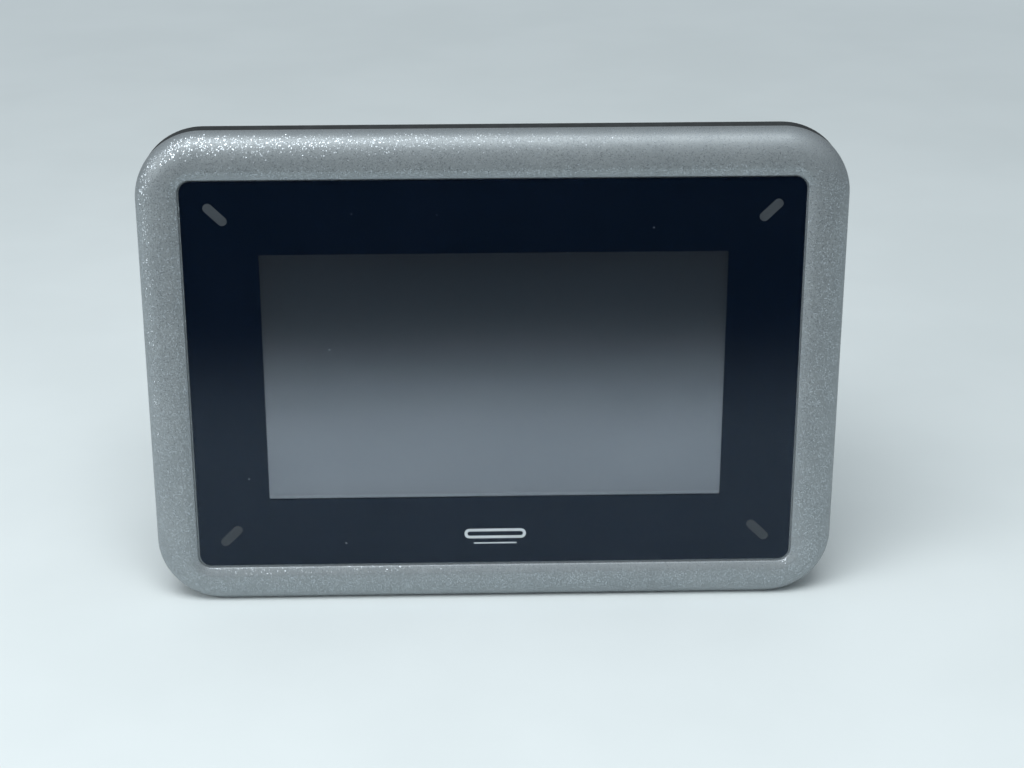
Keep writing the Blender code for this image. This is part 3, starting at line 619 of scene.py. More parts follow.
def inset_ring(x, z, inset, radius, steps):
    """The front's outline drawn in by inset, which brings its centre down to the overlay's."""
    rise = middle(z) * max(1 - inset / INSET_OVERLAY, 0.0)
    return rounded(extent(x) - 2 * inset, extent(z) - 2 * inset, radius, steps, (0.0, rise))


def bezel(paint):
    x, (_, post_end), z = span("front_bezel")
    outer, pocket = BEZEL_CORNER
    rings = []
    for inset, y in bezel_section():
        radius = outer + (pocket - outer) * min(inset / INSET_OVERLAY, 1.0)
        rings.append((inset_ring(x, z, inset, radius, 28), y))
    post = [(3.0, 1.9), (3.0, 2.4), (2.5, 2.7), (2.3, 3.2), (2.3, post_end - 0.2), (2.1, post_end)]
    hole = [(1.0, 0.9), (1.1, 1.6), (1.1, 7.6), (1.5, post_end + 0.1), (1.5, 9.0)]
    posts, holes = ([turned(profile, 1, at) for at in at_corners(FRAME_SCREW_AT)] for profile in (post, hole))
    half, z0 = RELIEF_HALF, z[0]
    outline = [(-half - 1.0, z0 - 2), (-half, z0 - 0.01), (-30.0, z0 + 0.2), (-18.0, z0 + 0.44)]
    outline += [(half - 2, z0 + 0.5), (half - 0.8, z0 + 0.45), (half, z0 + 0.22), (half + 0.5, z0 - 0.01)]
    relief = prism(outline + [(half + 0.9, z0 - 2)], 1, (0.2, RIM_BACK + BEYOND))
    steps = [join(*posts), cut(*holes), cut(relief)]
    piece("bezel", loft(rings, 1, closed=True), paint, "silver_coat", "front_bezel", steps=steps)


def gasket(paint):
    x, (y0, y1), z = span("panel_gasket")
    corner = BEZEL_CORNER[0] - 0.25
    section = [(6.95, y0), (0.75, y0), (0.65, y0 + 0.1), (0.62, y0 + 0.45), (0.45, y0 + 0.7), (0.12, y0 + 0.82)]
    section += [(0.0, y0 + 0.95), (0.0, y1 - 0.35), (0.05, y1 - 0.2), (0.2, y1 - 0.05), (0.4, y1)]
    for groove in (2.2, 4.2):
        section += [(groove, y1), (groove + 0.15, y1 - 0.25), (groove + 0.55, y1 - 0.25), (groove + 0.7, y1)]
    rings = [(inset_ring(x, z, inset, corner - inset, 20), y) for inset, y in section + [(6.95, y1)]]
    piece("gasket", loft(rings, 1, closed=True), paint, "rubber", "panel_gasket")


WINDOW = (95.9, 55.1)
WINDOW_Z = -0.1
FILM_Y = (0.0, 0.27)
INK_Y = (0.28, 0.40)
MARK_Y = (0.2705, 0.2785)
MARK_INSET = 7.05
MARK_HALF = (2.95, 1.0)
BADGE_HEIGHT = 6.4  # above the overlay's lower edge


def pill(half_x, z, half_z, y=MARK_Y, corner_steps=8):
    """A flat bar with round ends."""
    return soft(around(0, half_x), y, around(z, half_z), 1, half_z - 0.01, 0.002, 1, corner_steps)


def overlay(film, ink, mark, badge):
    """Clear film, the printed border behind it with its window, four corner marks and a plain badge."""
    x, _, z = span("touch_overlay")
    width, height = extent(x), extent(z)
    piece("overlay_film", soft(x, FILM_Y, z, 1, 2.5, 0.1, 3, 10), film, "overlay", "touch_overlay")
    border = soft(around(0, width / 2 - 0.02), INK_Y, around(0, height / 2 - 0.02), 1, 2.48, 0.03, 2, 10)
    through = (INK_Y[0] - BEYOND, INK_Y[1] + BEYOND)
    window = soft(around(0, WINDOW[0] / 2), through, around(WINDOW_Z, WINDOW[1] / 2))
    piece("overlay_print", border, ink, "overlay", steps=[cut(window)])
    for number, (side, up) in enumerate(CORNERS, 1):
        shape = pill(MARK_HALF[0], 0, MARK_HALF[1])
        turn = Matrix.Rotation(side * up * -PI / 4, 4, "Y")
        at = Vector((side * (width / 2 - MARK_INSET), 0, up * (height / 2 - MARK_INSET)))
        bmesh.ops.transform(shape, matrix=Matrix.Translation(at * MM) @ turn, verts=shape.verts)
        piece(f"corner_mark_{number}", shape, mark, "overlay")
    base = z[0] + BADGE_HEIGHT
    hole = pill(5.95, base + 0.5, 0.5, (0.0, 1.0))
    piece("badge_bar", pill(6.6, base + 0.5, 1.15), badge, "overlay", steps=[cut(hole)])
    piece("badge_line", pill(4.6, base - 1.75, 0.16, corner_steps=6), badge, "overlay")


POLARISER_HALF = (49.1, 29.2)
CAN_WINDOW_HALF = (49.3, 29.4)
FOAM_HOLE_HALF = (49.6, 29.7)


def display(polariser, glass, steel, foam):
    """The liquid crystal cell's glass, the polariser on its front, their steel frame and its foam seal."""
    x, y, z = span("display_cell")
    piece("display_glass", soft(x, y, z, 1, 0.3, 0.08, 2, 3), glass, "screen", "display_cell")
    wide, high = (around(0, half) for half in POLARISER_HALF)
    sheet = soft(wide, (y[0] - 0.24, y[0] - 0.01), high, 1, 0.25, 0.05, 2, 3)
    piece("display_polariser", sheet, polariser, "screen")
    x, y, z = span("display_frame")
    hollow = soft((x[0] + 0.5, x[1] - 0.5), (y[0] + 0.4, y[1] + BEYOND), (z[0] + 0.5, z[1] - 0.5), 1, 0.6)
    wide, high = (around(0, half) for half in CAN_WINDOW_HALF)
    window = soft(wide, (y[0] - BEYOND, y[0] + 2), high, 1, 0.6, 0.1)
    can = soft(x, y, z, 1, 1.0, 0.25, 3, 6)
    piece("display_can", can, steel, "steel", "display_frame", steps=[cut(hollow), cut(window)])
    x, y, z = span("display_gasket")
    wide, high = (around(0, half) for half in FOAM_HOLE_HALF)
    hole = soft(wide, (y[0] - BEYOND, y[1] + BEYOND), high, 1, 1.0, 0.1)
    ring = soft(x, y, z, 1, 2.0, 0.15, 2, 6)
    piece("foam_ring", ring, foam, "rubber", "display_gasket", steps=[cut(hole)])


# ---------------- housing

BOX_CORNER = 4.0
COLLAR_BACK = 17.0
WEB = (8.1, 9.9)
WALL = 2.0
COVER_SCREW_AT = (57.6, 36.1)
BOARD_SCREWS = ((-46.0, 33.4), (46.0, 33.4), (-50.0, -19.0), (50.0, -19.0))
GROUND_AT = (-24.0, 21.2)  # x and y of the earth screw
PORTS = ((-36.0, 9.7, (26.4, 37.6)), (-13.0, 8.3, (26.4, 40.5)), (6.0, 6.9, (26.6, 33.0)))


def housing(paint):
    (cx0, cx1), (y0, y1), (cz0, cz1) = span("rear_housing")
    (wall, bx1), _, (floor, roof) = span("back_cover")
    width, height = bx1 - wall, roof - floor
    rings = soft_rings(cx1 - cx0, cz1 - cz0, (y0, COLLAR_BACK), 5.0, 0.5, 3, 10)
    for out_x, out_z, radius, y in ((0.7, 0.9, 4.3, 0.0), (0.2, 0.26, 4.1, 0.14), (0.0, 0.0, BOX_CORNER, 0.5)):
        rings.append((rounded(width + out_x, height + out_z, radius, 10), COLLAR_BACK + y))
    rings += soft_rings(width, height, (0, y1), BOX_CORNER, 0.25, 3, 10)[4:]
    front = soft(around(0, width / 2 - 1), (0, WEB[0]), around(0, height / 2), 1, 3.0, 0.3, 2, 6)
    inside = (around(0, width / 2 - WALL), (WEB[1], y1 + 3), around(0, height / 2 - WALL))
    rear = soft(*inside, 1, 2.5, 0.5, 3, 6)
    columns, holes = [], []
    for at in at_corners(COVER_SCREW_AT):
        columns.append(rod(3.2, 1, (WEB[1] - 0.5, y1), at, 32))
        holes.append(rod(1.3, 1, (34.0, y1 + 1), at, 24))
    for at in at_corners(FRAME_SCREW_AT):
        holes.append(rod(1.4, 1, (WEB[0] - 1, WEB[1] + 1), at, 24))
    for at in BOARD_SCREWS:
        columns.append(rod(2.9, 1, (WEB[1] - 0.5, 24.9), at, 6))
        holes.append(rod(1.15, 1, (16.0, 26.0), at, 24))
    boss = rod(3.5, 2, (floor + 1.0, floor + 5.5), GROUND_AT, 32)
    ways = [opening(4.0, 4.0, (floor + 7.0, floor), 1.99, 0.2, 2, GROUND_AT, 8)]
    for i in range(9):
        ways.append(opening(2.4, 14.0, (roof - WALL - 1, roof), 1.19, 0.35, 2, ((i - 4) * 8.0, 34.0), 6))
    for side in (-1, 1):
        for t in ((roof - WALL - 1, roof), (floor + WALL + 0.5, floor)):
            ways.append(opening(10.0, 4.0, t, 0.4, 0.3, 2, (side * 47.0, 20.5), 4))
    below = (floor + 2.5, floor)
    for x, half, y in PORTS:
        ways.append(opening(2 * half, extent(y), below, 0.4, 0.3, 2, (x, middle(y)), 4))
    ways.append(opening(31.4, 13.2, below, 1.2, 0.3, 2, (36.0, 33.1)))
    ways.append(opening(3.0, 25.4, (wall + 2.5, wall), 0.4, 0.2, 0, (28.4, 16.0), 4))
    ways.append(opening(6.2, 11.6, (wall + 2.5, wall), 0.4, 0.3, 0, (29.5, -6.5), 4))
    scoop = loft(soft_rings(24, 24, (23.5, 33.5), 11.99, 0.6, 3, 24, (wall - 12 + 1.2, 16.0)), 1)
    steps = [cut(front, rear), join(*columns, boss), cut(*holes), cut(*ways), cut(scoop), cut(*web_openings())]
    piece("rear_housing_shell", loft(rings, 1), paint, "silver_coat", "rear_housing", steps=steps)


def web_openings():
    through = (WEB[0] - 1, WEB[1] + 1)
    shapes = [soft(around(side * 26.0, 18.0), through, around(3.0, 21.0), 1, 3.0, 0.1) for side in (-1, 1)]
    for x, z in (((-13.0, 13.0), (-37.4, -34.6)), ((25.0, 35.0), (-37.4, -34.4))):
        shapes.append(soft(x, through, z, 1, 0.5, 0.1))
    return shapes


def cover(paint, label):
    x, y, z = span("back_cover")
    lx, ly, lz = span("label_plate")
    recess = opening(extent(lx) + 0.6, extent(lz) + 0.6, (y[1] - 0.4, y[1]), 1.2, 0.12, 1, (0, 0), 6)
    sink = [(1.6, y[0] - 1), (1.6, y[1] - 1.6), (3.0, y[1] - 0.1), (3.15, y[1] + 0.4)]
    sinks = [turned(sink, 1, at, 48) for at in at_corners(COVER_SCREW_AT)]
    plate = soft(x, y, z, 1, BOX_CORNER, 0.6, 5, 10)
    piece("back_cover_plate", plate, paint, "silver_coat", "back_cover", steps=[cut(recess), cut(*sinks)])
    piece("rating_label", soft(lx, ly, lz, 1, 1.0, 0.05, 2, 6), label, "label", "label_plate")


def star(centre, radius, depth=0.13, lobes=6, steps=8):
    """Outline of a six-lobed drive."""
    points = []
    for i in range(lobes * steps):
        angle = 2 * PI * i / (lobes * steps)
        r = radius * (1 + depth * math.cos(lobes * angle))
        points.append((centre[0] + r * math.cos(angle), centre[1] + r * math.sin(angle)))
    return points


# height of the head, radius of the shank and pitch of the thread
SCREWS = {
    "cover": (1.7, 1.1, 0.45),
    "frame": (1.6, 1.05, 0.45),
    "board": (1.6, 1.05, 0.45),
    "power": (1.9, 1.25, 0.5),
    "ground": (2.4, 1.8, 0.5),
}


def screw(node, paint, facing=1, body="panel", axis=1):
    """A threaded screw in its CAD node's box, its head towards facing (+1 or -1) along the axis."""
    kind = node.split("_")[0]
    spans = span(node)
    low, high = spans[axis]
    across = [spans[i] for i in range(3) if i != axis]
    at = tuple(middle(pair) for pair in across)
    head = extent(across[0]) / 2
    top, tip = (high, low) if facing > 0 else (low, high)

    def down(depth):
        return top - facing * depth

    end = abs(top - tip)
    tall, shank, pitch = SCREWS[kind]
    if kind == "cover":
        profile = [(head - 0.08, 0), (head, 0.06), (head, 0.16), (shank, tall)]
    else:
        profile = [(head * 0.72, 0), (head * 0.9, tall * 0.08), (head * 0.98, tall * 0.25), (head, tall * 0.45)]
        profile += [(head, tall - 0.08), (head - 0.08, tall), (shank, tall + 0.02)]
    depth = tall + 0.4
    while depth < end - 0.55 - pitch:
        profile += [(shank, depth), (shank - 0.16, depth + pitch * 0.5)]
        depth += pitch
    profile += [(shank, end - 0.5), (shank - 0.35, end)]
    if kind in ("power", "ground"):
        width = 0.5 if head > 2 else 0.42
        pair = [around(at[0], head + 1), around(at[1], width / 2)]
        pair.insert(axis, tuple(sorted((down(tall * 0.5), down(-1)))))
        drive = soft(*pair, axis, 0.05, 0.04)
    else:
        drive = prism(star(at, head * 0.4), axis, tuple(sorted((down(tall * 0.55), down(-1)))))
    shape = turned([(radius, down(depth)) for radius, depth in profile], axis, at, 48)
    piece(node + "_fine", shape, paint, "zinc", node, steps=[cut(drive)], body=body)


# ---------------- sockets


def mouth(x, y, t, wall, corner, flare):
    """The cutting shape that leaves walls of the given total thickness round a socket open downwards."""
    return opening(extent(x) - wall, extent(y) - wall, t, corner, flare, 2, (middle(x), middle(y)))


def lan_port(steel, black, gold, lens):
    x, y, z = span("ethernet_shield")
    tongues = []
    for wall in x:
        for offset, level in ((-2.5, -30.0), (2.5, -25.0)):
            tongues.append(soft(around(wall, 1.2), around(middle(y) + offset, 0.25), around(level, 1.6), 0, 0.2))
    steps = [cut(mouth(x, y, (z[1] - 0.5, z[0]), 1.0, 0.4, 0.15)), cut(*tongues)]
    piece("lan_shield", soft(x, y, z, 2, 0.6, 0.3), steel, "steel", "ethernet_shield", steps=steps)
    x, y, z = span("ethernet_insert")
    cx, face = middle(x), z[0]
    ways = [cx + (i - 3.5) * 1.02 for i in range(8)]
    lamps = [cx - 5.5, cx + 5.5]
    plug = opening(12.0, 8.2, (-28.5, face), 0.25, 0.35, 2, (cx, 34.3), 3)
    latch = opening(6.2, 2.4, (-28.5, face), 0.2, 0.3, 2, (cx, 29.8), 3)
    combs = [soft(around(way, 0.3), (38.2, 38.75), (-40.2, -28.6), 1, 0.05, 0.03) for way in ways]
    wells = [opening(2.7, 1.7, (face + 1.2, face), 0.2, 0.05, 2, (lamp, 29.0), 3) for lamp in lamps]
    steps = [cut(plug), cut(latch), cut(*combs), cut(*wells)]
    core = soft(x, y, z, 2, 0.3, 0.15, 2, 4)
    piece("lan_insert", core, black, "black_plastic", "ethernet_insert", steps=steps)
    path = [(38.5, -28.9), (38.5, -38.4), (38.3, -39.2), (37.8, -39.5), (37.3, -39.1), (36.0, -35.2), (35.2, -31.4)]
    wires = [prism(strip(path, 0.22), 0, around(way, 0.2)) for way in ways]
    piece("lan_contacts", together(wires), gold, "steel")
    for number, lamp in enumerate(lamps, 1):
        shape = soft(around(lamp, 1.25), around(29.0, 0.75), (face + 0.05, face + 1.1), 2, 0.2, 0.12)
        piece(f"lan_lamp_{number}", shape, lens, "white_plastic")


def usb_port(steel, white, gold):
    x, y, z = span("usb_shell")
    cx = middle(x)
    windows, springs = [], []
    for side in (-1, 1):
        at = cx + side * 3.1
        windows += [soft(around(at, 0.95), around(wall, 0.8), (-39.0, -33.6), 1, 0.2, 0.05) for wall in y]
        for wall, inwards in ((y[0] + 0.2, 1), (y[1] - 0.2, -1)):
            path = [(wall, -33.4), (wall, -34.6), (wall + inwards * 0.28, -36.6), (wall + inwards * 0.3, -37.2)]
            path += [(wall + inwards * 0.02, -38.7)]
            springs.append(prism(strip(path, 0.25), 0, around(at, 0.75)))
    hole = opening(12.4, 5.0, (z[1] - 0.4, z[0]), 0.35, 0.14, 2, (cx, middle(y)))
    can = soft(x, y, z, 2, 0.55, 0.2)
    piece("usb_can", can, steel, "steel", "usb_shell", steps=[cut(hole), cut(*windows)])
    piece("usb_springs", together(springs), steel, "steel")
    x, y, z = span("usb_tongue")
    blade = soft(around(cx, 5.6), (27.9, 29.7), (z[0], -30.5), 2, 0.2, 0.18, 3, 4)
    pins = ((-3.5, -39.6), (-1.0, -38.9), (1.0, -38.9), (3.5, -39.6))
    ways = [soft(around(cx + pin, 0.62), (29.5, 30.2), (-40.2, -31.0), 1, 0.1, 0.04) for pin, _ in pins]
    root = soft(x, y, (-31.0, z[1]), 2, 0.15, 0.1, 2, 3)
    piece("usb_blade", root, white, "white_plastic", "usb_tongue", steps=[join(blade), cut(*ways)])
    pads = []
    for pin, end in pins:
        path = [(29.58, -31.2), (29.62, -34.0), (29.78, -36.5), (29.7, end + 0.5), (29.5, end)]
        pads.append(prism(strip(path, 0.16), 0, around(cx + pin, 0.5)))
    piece("usb_contacts", together(pads), gold, "steel")


def d_loft(centre, *rows):
    """Loft of D outlines, their narrow side towards the front; each row is (width, height, corner, z)."""
    rings = []
    for width, height, corner, z in rows:
        lean = height * math.tan(math.radians(10))
        right, left = centre[0] + width / 2, centre[0] - width / 2
        front, back = centre[1] - height / 2, centre[1] + height / 2
        points = [(left + lean, front), (right - lean, front), (right, back), (left, back)]
        rings.append((round_corners(points, [corner] * 4, 6), z))
    return loft(rings, 2)


SERIAL_HOLE = 1.65


def serial_port(steel, black, gold, zinc):
    x, y, z = span("serial_shell")
    centre = (middle(x), middle(y))
    flange = z[1] - 1.0
    neck = [(19.0, 10.6, 2.1, flange + 0.3), (18.2, 9.8, 2.1, flange - 0.05), (17.3, 8.9, 2.1, flange - 0.35)]
    neck += [(17.0, 8.6, 1.9, flange - 0.8), (17.0, 8.6, 1.9, z[0] + 0.1), (16.85, 8.45, 1.85, z[0])]
    room = [(16.2, 7.8, 1.6, z[1] + 1), (16.2, 7.8, 1.6, z[0] + 0.12), (16.4, 8.0, 1.7, z[0])]
    room += [(16.4, 8.0, 1.7, z[0] - 1)]
    jacks = [(centre[0] + side * 12.5, centre[1]) for side in (-1, 1)]
    holes = [rod(SERIAL_HOLE, 2, (flange - 1, z[1] + 1), at, 32) for at in jacks]
    dimple = [(0.6, z[0] + 2.4), (0.9, z[0] + 2.7), (0.9, z[0] + 3.3), (0.6, z[0] + 3.6)]
    places = [(centre[0] + k * 4.2, centre[1] + side * 4.3) for side in (-1, 1) for k in (-1, 1)]
    dimples = [turned(dimple, 2, at, 20) for at in places]
    steps = [join(d_loft(centre, *neck)), join(*dimples), cut(d_loft(centre, *room)), cut(*holes)]
    plate = soft(x, y, (flange, z[1]), 2, 1.2, 0.2)
    piece("serial_shell_fine", plate, steel, "steel", "serial_shell", steps=steps)

    ix, iy, (face, back) = span("serial_insert")
    rear = z[1] + 0.1
    nose = [(15.1, 6.7, 1.2, face), (15.6, 7.2, 1.3, face + 0.25), (15.6, 7.2, 1.3, rear + 0.5)]
    poles = []
    for count, offset in ((5, 1.42), (4, -1.42)):
        poles += [(centre[0] + (i - (count - 1) / 2) * 2.77, centre[1] + offset) for i in range(count)]
    bore = [(0.6, z[1] - 0.6), (0.6, face + 0.3), (0.9, face), (0.9, face - 1)]
    bores = [turned(bore, 2, at, 24) for at in poles]
    studs = [rod(SERIAL_HOLE, 2, (rear - 1, rear + 7), at, 24) for at in jacks]
    core = soft(ix, iy, (rear, back), 2, 0.6, 0.25, 2, 4)
    steps = [join(d_loft(centre, *nose)), cut(*bores), cut(*studs)]
    piece("serial_insert_fine", core, black, "black_plastic", "serial_insert", steps=steps)
    cup = [(0.56, z[1] - 0.8), (0.56, face + 0.45), (0.40, face + 0.55), (0.40, z[1] - 1.0)]
    piece("serial_contacts", together(turned(cup, 2, at, 20) for at in poles), gold, "steel")
    for word, at in zip(("left", "right"), jacks):
        jackscrew("serial_jackscrew_" + word, at, z, zinc)


def jackscrew(node, at, z, zinc):
    """A hexagonal standoff with a threaded hole below and a threaded stud above the serial port's flange."""
    top, end = z[0] + 0.8, span(node)[2][1]
    cone = [(2.45, top - 0.01), (2.75, top + 0.3), (3.2, top + 0.75), (3.2, z[1] - 1)]
    stud = [(1.3, z[1] - 1.4)]
    level = z[1] - 0.9
    while level < end - 0.6:
        stud += [(1.3, level), (1.12, level + 0.22)]
        level += 0.44
    stud += [(1.1, end)]
    thread = [(1.25, z[1] - 2.2)]
    level = z[1] - 2.4
    while level > top + 0.5:
        thread += [(1.25, level), (1.42, level - 0.2)]
        level -= 0.4
    thread += [(1.25, top + 0.35), (1.6, top), (1.6, top - 1)]
    steps = [("INTERSECT", [turned(cone, 2, at, 48)])]
    steps += [join(turned(stud, 2, at, 32)), cut(turned(thread, 2, at, 32))]
    piece(node + "_fine", rod(2.75, 2, (top, z[1] - 1.1), at, 6), zinc, "zinc", node, steps=steps)


POLES = (-41.08, -36.0, -30.92)
PLUG_SHELF = -41.8
TERMINAL_Z = -46.2


def power_connector(green, zinc, steel):
    x, y, z = span("power_header")
    keys = [soft(around(pole, 0.8), (y[1] - 1.2, y[1] - 0.45), (z[0] - 1, -33.0), 2, 0.15, 0.05) for pole in POLES]
    steps = [cut(mouth(x, y, (z[1] - 1.5, z[0]), 2.0, 0.4, 0.25)), cut(*keys)]
    piece("supply_header", soft(x, y, z, 2, 0.5, 0.25), green, "plug_green", "power_header", steps=steps)
    pins = [soft(around(pole, 0.5), (31.5, 32.5), (-38.5, -30.9), 2, 0.18, 0.17, 3, 3) for pole in POLES]
    piece("supply_pins", together(pins), steel, "steel")

    x, y, z = span("power_plug")
    nose = soft(around(middle(x), 8.1), (28.0, 36.0), (PLUG_SHELF - 0.7, z[1]), 2, 0.4, 0.3, 3, 4)
    well = [(2.05, 37.4), (2.05, 39.75), (2.3, 40.0), (2.3, 41.0)]
    entries, sockets, wells, bores, grooves = [], [], [], [], []
    for pole in POLES:
        entries.append(opening(4.1, 6.7, (-43.2, z[0]), 0.35, 0.25, 2, (pole, 32.45), 4))
        sockets.append(opening(1.8, 1.8, (-39.5, z[1]), 0.15, 0.3, 2, (pole, 32.0), 3))
        wells.append(turned(well, 1, (pole, TERMINAL_Z)))
        bores.append(rod(1.5, 1, (35.0, 38.0), (pole, TERMINAL_Z), 24))
    for edge in (middle(POLES[:2]), middle(POLES[1:])):
        for depth, top in (((39.6, 41.0), 1), ((26.9, 28.25), 0.4)):
            grooves.append(soft(around(edge, 0.22), depth, (z[0] - 1, PLUG_SHELF + top), 1, 0.1, 0.04))
    steps = [join(nose), cut(*entries, *sockets), cut(*wells), cut(*bores), cut(*grooves)]
    block = soft(x, y, (z[0], PLUG_SHELF), 0, 0.7, 0.25)
    piece("supply_plug", block, green, "plug_green", "power_plug", steps=steps, body="power_plug")
    for number, pole in enumerate(POLES, 1):
        node = f"power_screw_{number}"
        screw(node, zinc, body=node)
        node = f"wire_clamp_{number}"
        x, y, z = span(node)
        way = opening(2.7, 3.2, (z[1] + 1, z[0]), 0.25, 0.12, 2, (pole, 31.5), 3)
        hole = rod(1.45, 1, (32.5, 35.0), (pole, TERMINAL_Z), 32)
        levels = [around(TERMINAL_Z + k * 0.9, 0.14) for k in (-1, 0, 1)]
        teeth = [soft(around(pole, 1.0), (29.7, 30.0), level, 0, 0.05, 0.02) for level in levels]
        steps = [cut(way), cut(hole), cut(*teeth)]
        cage = soft(x, y, z, 2, 0.35, 0.15, 2, 4)
        piece(f"clamp_cage_{number}", cage, zinc, "zinc", node, steps=steps, body=node)


# ---------------- side

CARD_CUT = 4.0  # the memory card's cut corner
CARD_STEP = 0.7  # height of its rails below its face


def memory_card(black, gold, foil):
    """A blank memory card: stepped rails, cut corner, write-protect notch, label recess and contact pads."""
    (x0, x1), (y0, y1), (z0, z1) = span("memory_card")

    def outline(inset, slant, *radii):
        points = [(x0, z0 + inset), (x1 - slant, z0 + inset), (x1 - inset, z0 + slant)]
        return round_corners(points + [(x1 - inset, z1 - inset), (x0, z1 - inset)], radii, 5)

    full = outline(0.0, CARD_CUT, 1.0, 0.3, 0.3, 0.5, 1.0)
    core = outline(0.75, CARD_CUT + 0.3, 0.8, 0.3, 0.3, 0.4, 0.8)
    raised = loft([(core, y0 + 0.5), (core, y1 - 0.1), (core, y1)], 1)
    cuts = [soft((x0 + 8.0, x0 + 11.0), (y0 - 1, y1 + 1), (z1 - 0.75, z1 + 1), 1, 0.2, 0.05)]
    cuts += [soft((x0 + 4.2, x1 - 6.0), (y1 - 0.18, y1 + 1), (z0 + 2.4, z1 - 2.4), 1, 1.0, 0.05)]
    for k in range(3):
        rib = (x0 + 1.0 + k * 0.8, x0 + 1.35 + k * 0.8)
        cuts.append(soft(rib, (y1 - 0.2, y1 + 1), around(16, 7), 1, 0.1, 0.03))
    pockets, pads = [], []
    for i in range(9):
        z = z1 - 3.0 - i * 2.4
        pockets.append(soft((x1 - 5.6, x1 - 1.0), (y0 - 1, y0 + 0.25), around(z, 0.8), 1, 0.15, 0.04))
        pads.append(soft((x1 - 5.5, x1 - 1.1), (y0 + 0.14, y0 + 0.3), around(z, 0.72), 1, 0.1, 0.03))
    card = prism(full, 1, (y0, y1 - CARD_STEP))
    steps = [join(raised), cut(*cuts), cut(*pockets)]
    piece("card_body", card, black, "black_plastic", "memory_card", steps=steps, body="memory_card")
    piece("card_contacts", together(pads), gold, "steel", body="memory_card")
    sticker = soft((x0 + 4.5, x1 - 6.3), (y1 - 0.2, y1 - 0.08), (z0 + 2.7, z1 - 2.7), 1, 0.8, 0.03)
    piece("card_label", sticker, foil, "label", body="memory_card")


def mode_switches(red, white):
    x, y, z = span("mode_switch_base")
    ways = []
    for number in range(1, 5):
        node = f"mode_switch_slider_{number}"
        sx, sy, sz = span(node)
        ways.append(opening(extent(sy) + 1.8, 1.6, (-60.6, x[0]), 0.15, 0.12, 0, (29.8, middle(sz)), 3))
        groove = soft((sx[0] - 1, sx[0] + 0.15), around(middle(sy), 0.14), (sz[0] - 1, sz[1] + 1), 0, 0.05, 0.02)
        slider = soft(sx, sy, sz, 0, 0.2, 0.15, 2, 4)
        piece(node + "_fine", slider, white, "white_plastic", node, steps=[cut(groove)], body=node)
    mark = soft((x[0] - 1, x[0] + 0.1), (y[0] + 0.35, y[0] + 0.6), (z[0] + 0.6, z[1] - 0.6), 0, 0.05, 0.02)
    base = soft(x, y, z, 0, 0.35, 0.2, 2, 4)
    piece("switch_block", base, red, "switch_red", "mode_switch_base", steps=[cut(*ways), cut(mark)])


# ---------------- stage

FLOOR_RADIUS = 2.5  # metres, as are the rest of the stage's sizes
FLOOR_FADE = (0.3, 1.2)
PAINTED_REFLECTION_DARK_FROM = (-0.075, -0.165)  # where glossy rays start to see the painted dark reflection patch in front of the panel
SURROUND = (0.66, 0.745, 0.79)
LIGHT_FROM_BELOW, LIGHT_FROM_ABOVE = (0.17, 0.185, 0.195), (0.42, 0.46, 0.49)


def soft_light(name, location, size, power, colour):
    """A soft rectangular light that faces the origin."""
    light = bpy.data.lights.new(name, "AREA")
    light.shape = "RECTANGLE"
    light.size, light.size_y = size
    light.energy = power
    light.color = colour
    obj = link(name, light)
    obj.location = location
    obj.rotation_euler = (-Vector(location)).to_track_quat("-Z", "Y").to_euler()


def stage():
    """Pale floor that fades into an evenly pale surround. Glossy rays see a painted dark patch on it from a hand's
    width in front of the panel on: a painted reflection that stands in for a dark room in front of the bench."""
    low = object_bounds()[0].z
    p = Paint("floor")
    x, y, _ = p.split(p.coords)
    reach = p.math("SQRT", p.math("ADD", p.times(x, x), p.times(y, y)))
    shade = p.mottled(p.noise(60.0, 3.0), (0.735, 0.790, 0.795), (0.765, 0.820, 0.825))
    top = p.body(shade, 0.9, 0.0, p.relief(p.noise(2.5), 0.02), 0.2)
    rays = p.node("LightPath").outputs
    # painted reflection: beyond this line glossy rays see the floor as a dark matt patch
    painted_dark_reflection = p.times(p.between(y, *PAINTED_REFLECTION_DARK_FROM), rays["Is Glossy Ray"])
    seen = p.mixed(painted_dark_reflection, top, p.matt((0.03, 0.035, 0.04)))
    fading = p.times(p.between(reach, *FLOOR_FADE), rays["Is Camera Ray"])
    paint = p.done(p.mixed(fading, seen, p.clear((1, 1, 1))))
    shape = bmesh.new()
    bmesh.ops.create_circle(shape, cap_ends=True, segments=96, radius=FLOOR_RADIUS)
    floor = solid(shape, "floor")
    floor.location = (0, 0, low)
    floor.data.materials.append(paint)
    floor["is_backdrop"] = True

    world = bpy.data.worlds.new("surround")
    bpy.context.scene.world = world
    p = Paint("surround", world)
    ramp = p.node("ValToRGB", {0: p.split(p.places["Generated"])[2]})
    levels = ((0.0, LIGHT_FROM_BELOW), (0.75, LIGHT_FROM_ABOVE))
    for element, (position, colour) in zip(ramp.color_ramp.elements, levels):
        element.position = position
        element.color = (*colour, 1)
    rays = p.node("LightPath").outputs
    shade = p.blend(rays["Is Camera Ray"], ramp.outputs[0], SURROUND)
    p.done(p.out("Background", {0: shade}), "World")

    soft_light("overhead", (-0.07, -0.36, 0.67), (0.6, 0.4), 4.6, (0.97, 0.99, 1.0))
    soft_light("left_fill", (-0.8, -0.5, 0.35), (0.5, 0.5), 3.0, (0.96, 0.985, 1.0))


CAMERA_AT = (-8.015, -434.67, 181.92)
CAMERA_TURN = (-22.864, 0.035, -1.548)  # pitch, roll and yaw in degrees
LENS = 79.53


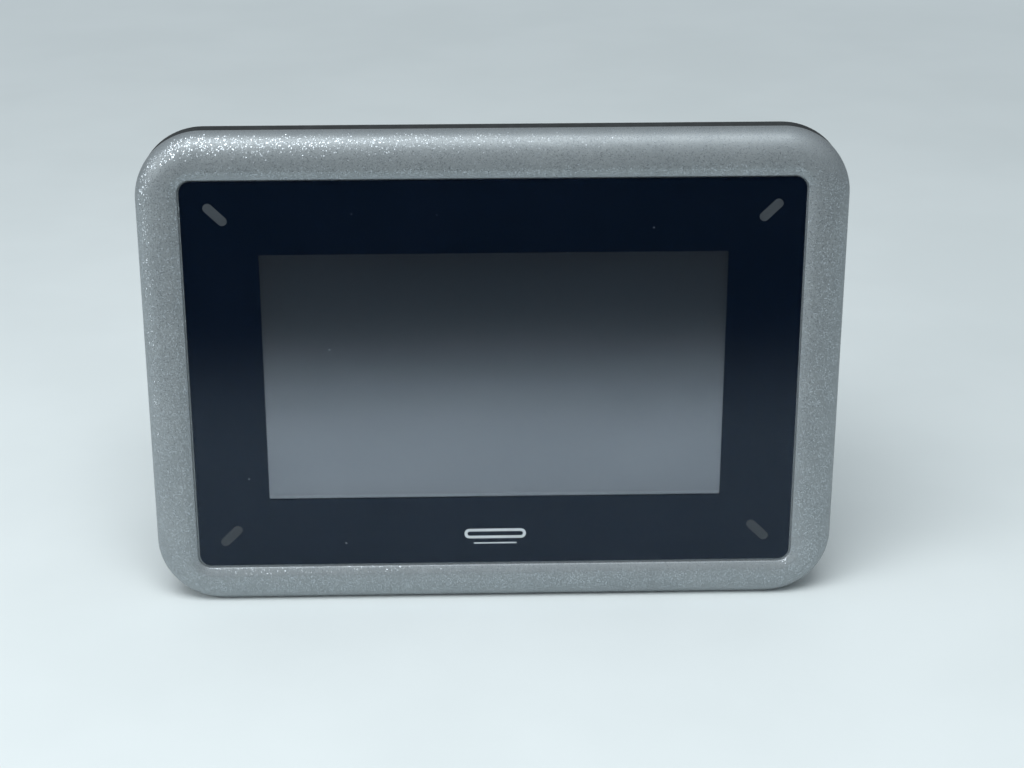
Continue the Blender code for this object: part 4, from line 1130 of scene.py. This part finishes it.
def camera():
    data = bpy.data.cameras.new("camera")
    data.lens = LENS
    data.sensor_width = 36.0
    data.clip_start, data.clip_end = 0.02, 50.0
    obj = link("camera", data)
    pitch, roll, yaw = (math.radians(a) for a in CAMERA_TURN)
    turn = Matrix.Rotation(yaw, 4, "Z") @ Matrix.Rotation(roll, 4, "Y") @ Matrix.Rotation(pitch + PI / 2, 4, "X")
    obj.matrix_world = Matrix.Translation(Vector(CAMERA_AT) * MM) @ turn
    bpy.context.scene.camera = obj


# ---------------- build

ACTIVE_AREA = (95.04, 53.86)
ACTIVE_Z = 1.2
PAINTED_LIP_HIGHLIGHT_Z = -28.2  # below this a pale band painted on the polariser, a painted highlight of the frame's lip, shows in the window


def build():
    silver = silver_paint()
    steel = metal("steel", (0.62, 0.62, 0.61), 0.26)
    zinc = metal("zinc", (0.66, 0.66, 0.63), 0.3, (1, 1, 1), 0.6)
    gold = metal("gold_plate", (0.86, 0.62, 0.24), 0.22, (1, 1, 1), 0.5)
    black = moulded("black_plastic", (0.018, 0.018, 0.020), 0.5)
    white = moulded("white_plastic", (0.78, 0.78, 0.75), 0.4)
    green = moulded("plug_green", (0.022, 0.21, 0.075), 0.42, 0.012)
    red = moulded("switch_red", (0.33, 0.022, 0.022), 0.4)

    bezel(silver)
    gasket(rubber_paint())
    mark = moulded("mark_ink", (0.034, 0.041, 0.048), 0.6, 0.002)
    badge = moulded("badge_ink", (0.58, 0.61, 0.62), 0.6, 0.002)
    overlay(film_paint(), print_paint(), mark, badge)
    dark_glass = moulded("cell_glass", (0.012, 0.014, 0.017), 0.1, 0.0005)
    foam = moulded("foam", (0.014, 0.015, 0.016), 0.9, 0.04, 0.3)
    display(screen_paint(ACTIVE_AREA, ACTIVE_Z, PAINTED_LIP_HIGHLIGHT_Z), dark_glass, steel, foam)
    housing(silver)
    x, _, z = span("label_plate")
    cover(silver, label_paint(x, z))
    for number in range(1, 5):
        for kind in ("cover", "frame", "board"):
            screw(f"{kind}_screw_{number}", zinc)
    screw("ground_screw", zinc, -1, axis=2)
    lan_port(steel, black, gold, moulded("lamp_lens", (0.42, 0.44, 0.36), 0.2, 0.002))
    usb_port(steel, white, gold)
    serial_port(steel, black, gold, zinc)
    power_connector(green, zinc, steel)
    memory_card(black, gold, moulded("card_sticker", (0.16, 0.17, 0.18), 0.5))
    mode_switches(red, white)

    for nodes, paint, edge in (
        ("touch_glass", touch_paint(), 0.1),
        ("touch_tail display_flex", flex_paint(), 0),
        ("diffuser_film", moulded("white_sheet", (0.82, 0.82, 0.80), 0.55, 0.002), 0.05),
        ("light_guide", acrylic_paint(), 0.12),
        ("backlight_tray led_strip display_connector touch_connector", white, 0.12),
        ("main_board", board_paint(), 0.1),
        ("processor power_inductor coin_cell_holder", black, 0.2),
        ("input_capacitor", zinc, 0.2),
        ("coin_cell", steel, 0.25),
        ("card_socket", steel, 0.1),
    ):
        for node in nodes.split():
            keep(node, paint, edge)


bpy.context.scene.view_settings.view_transform = "Standard"
build()
stage()
camera()
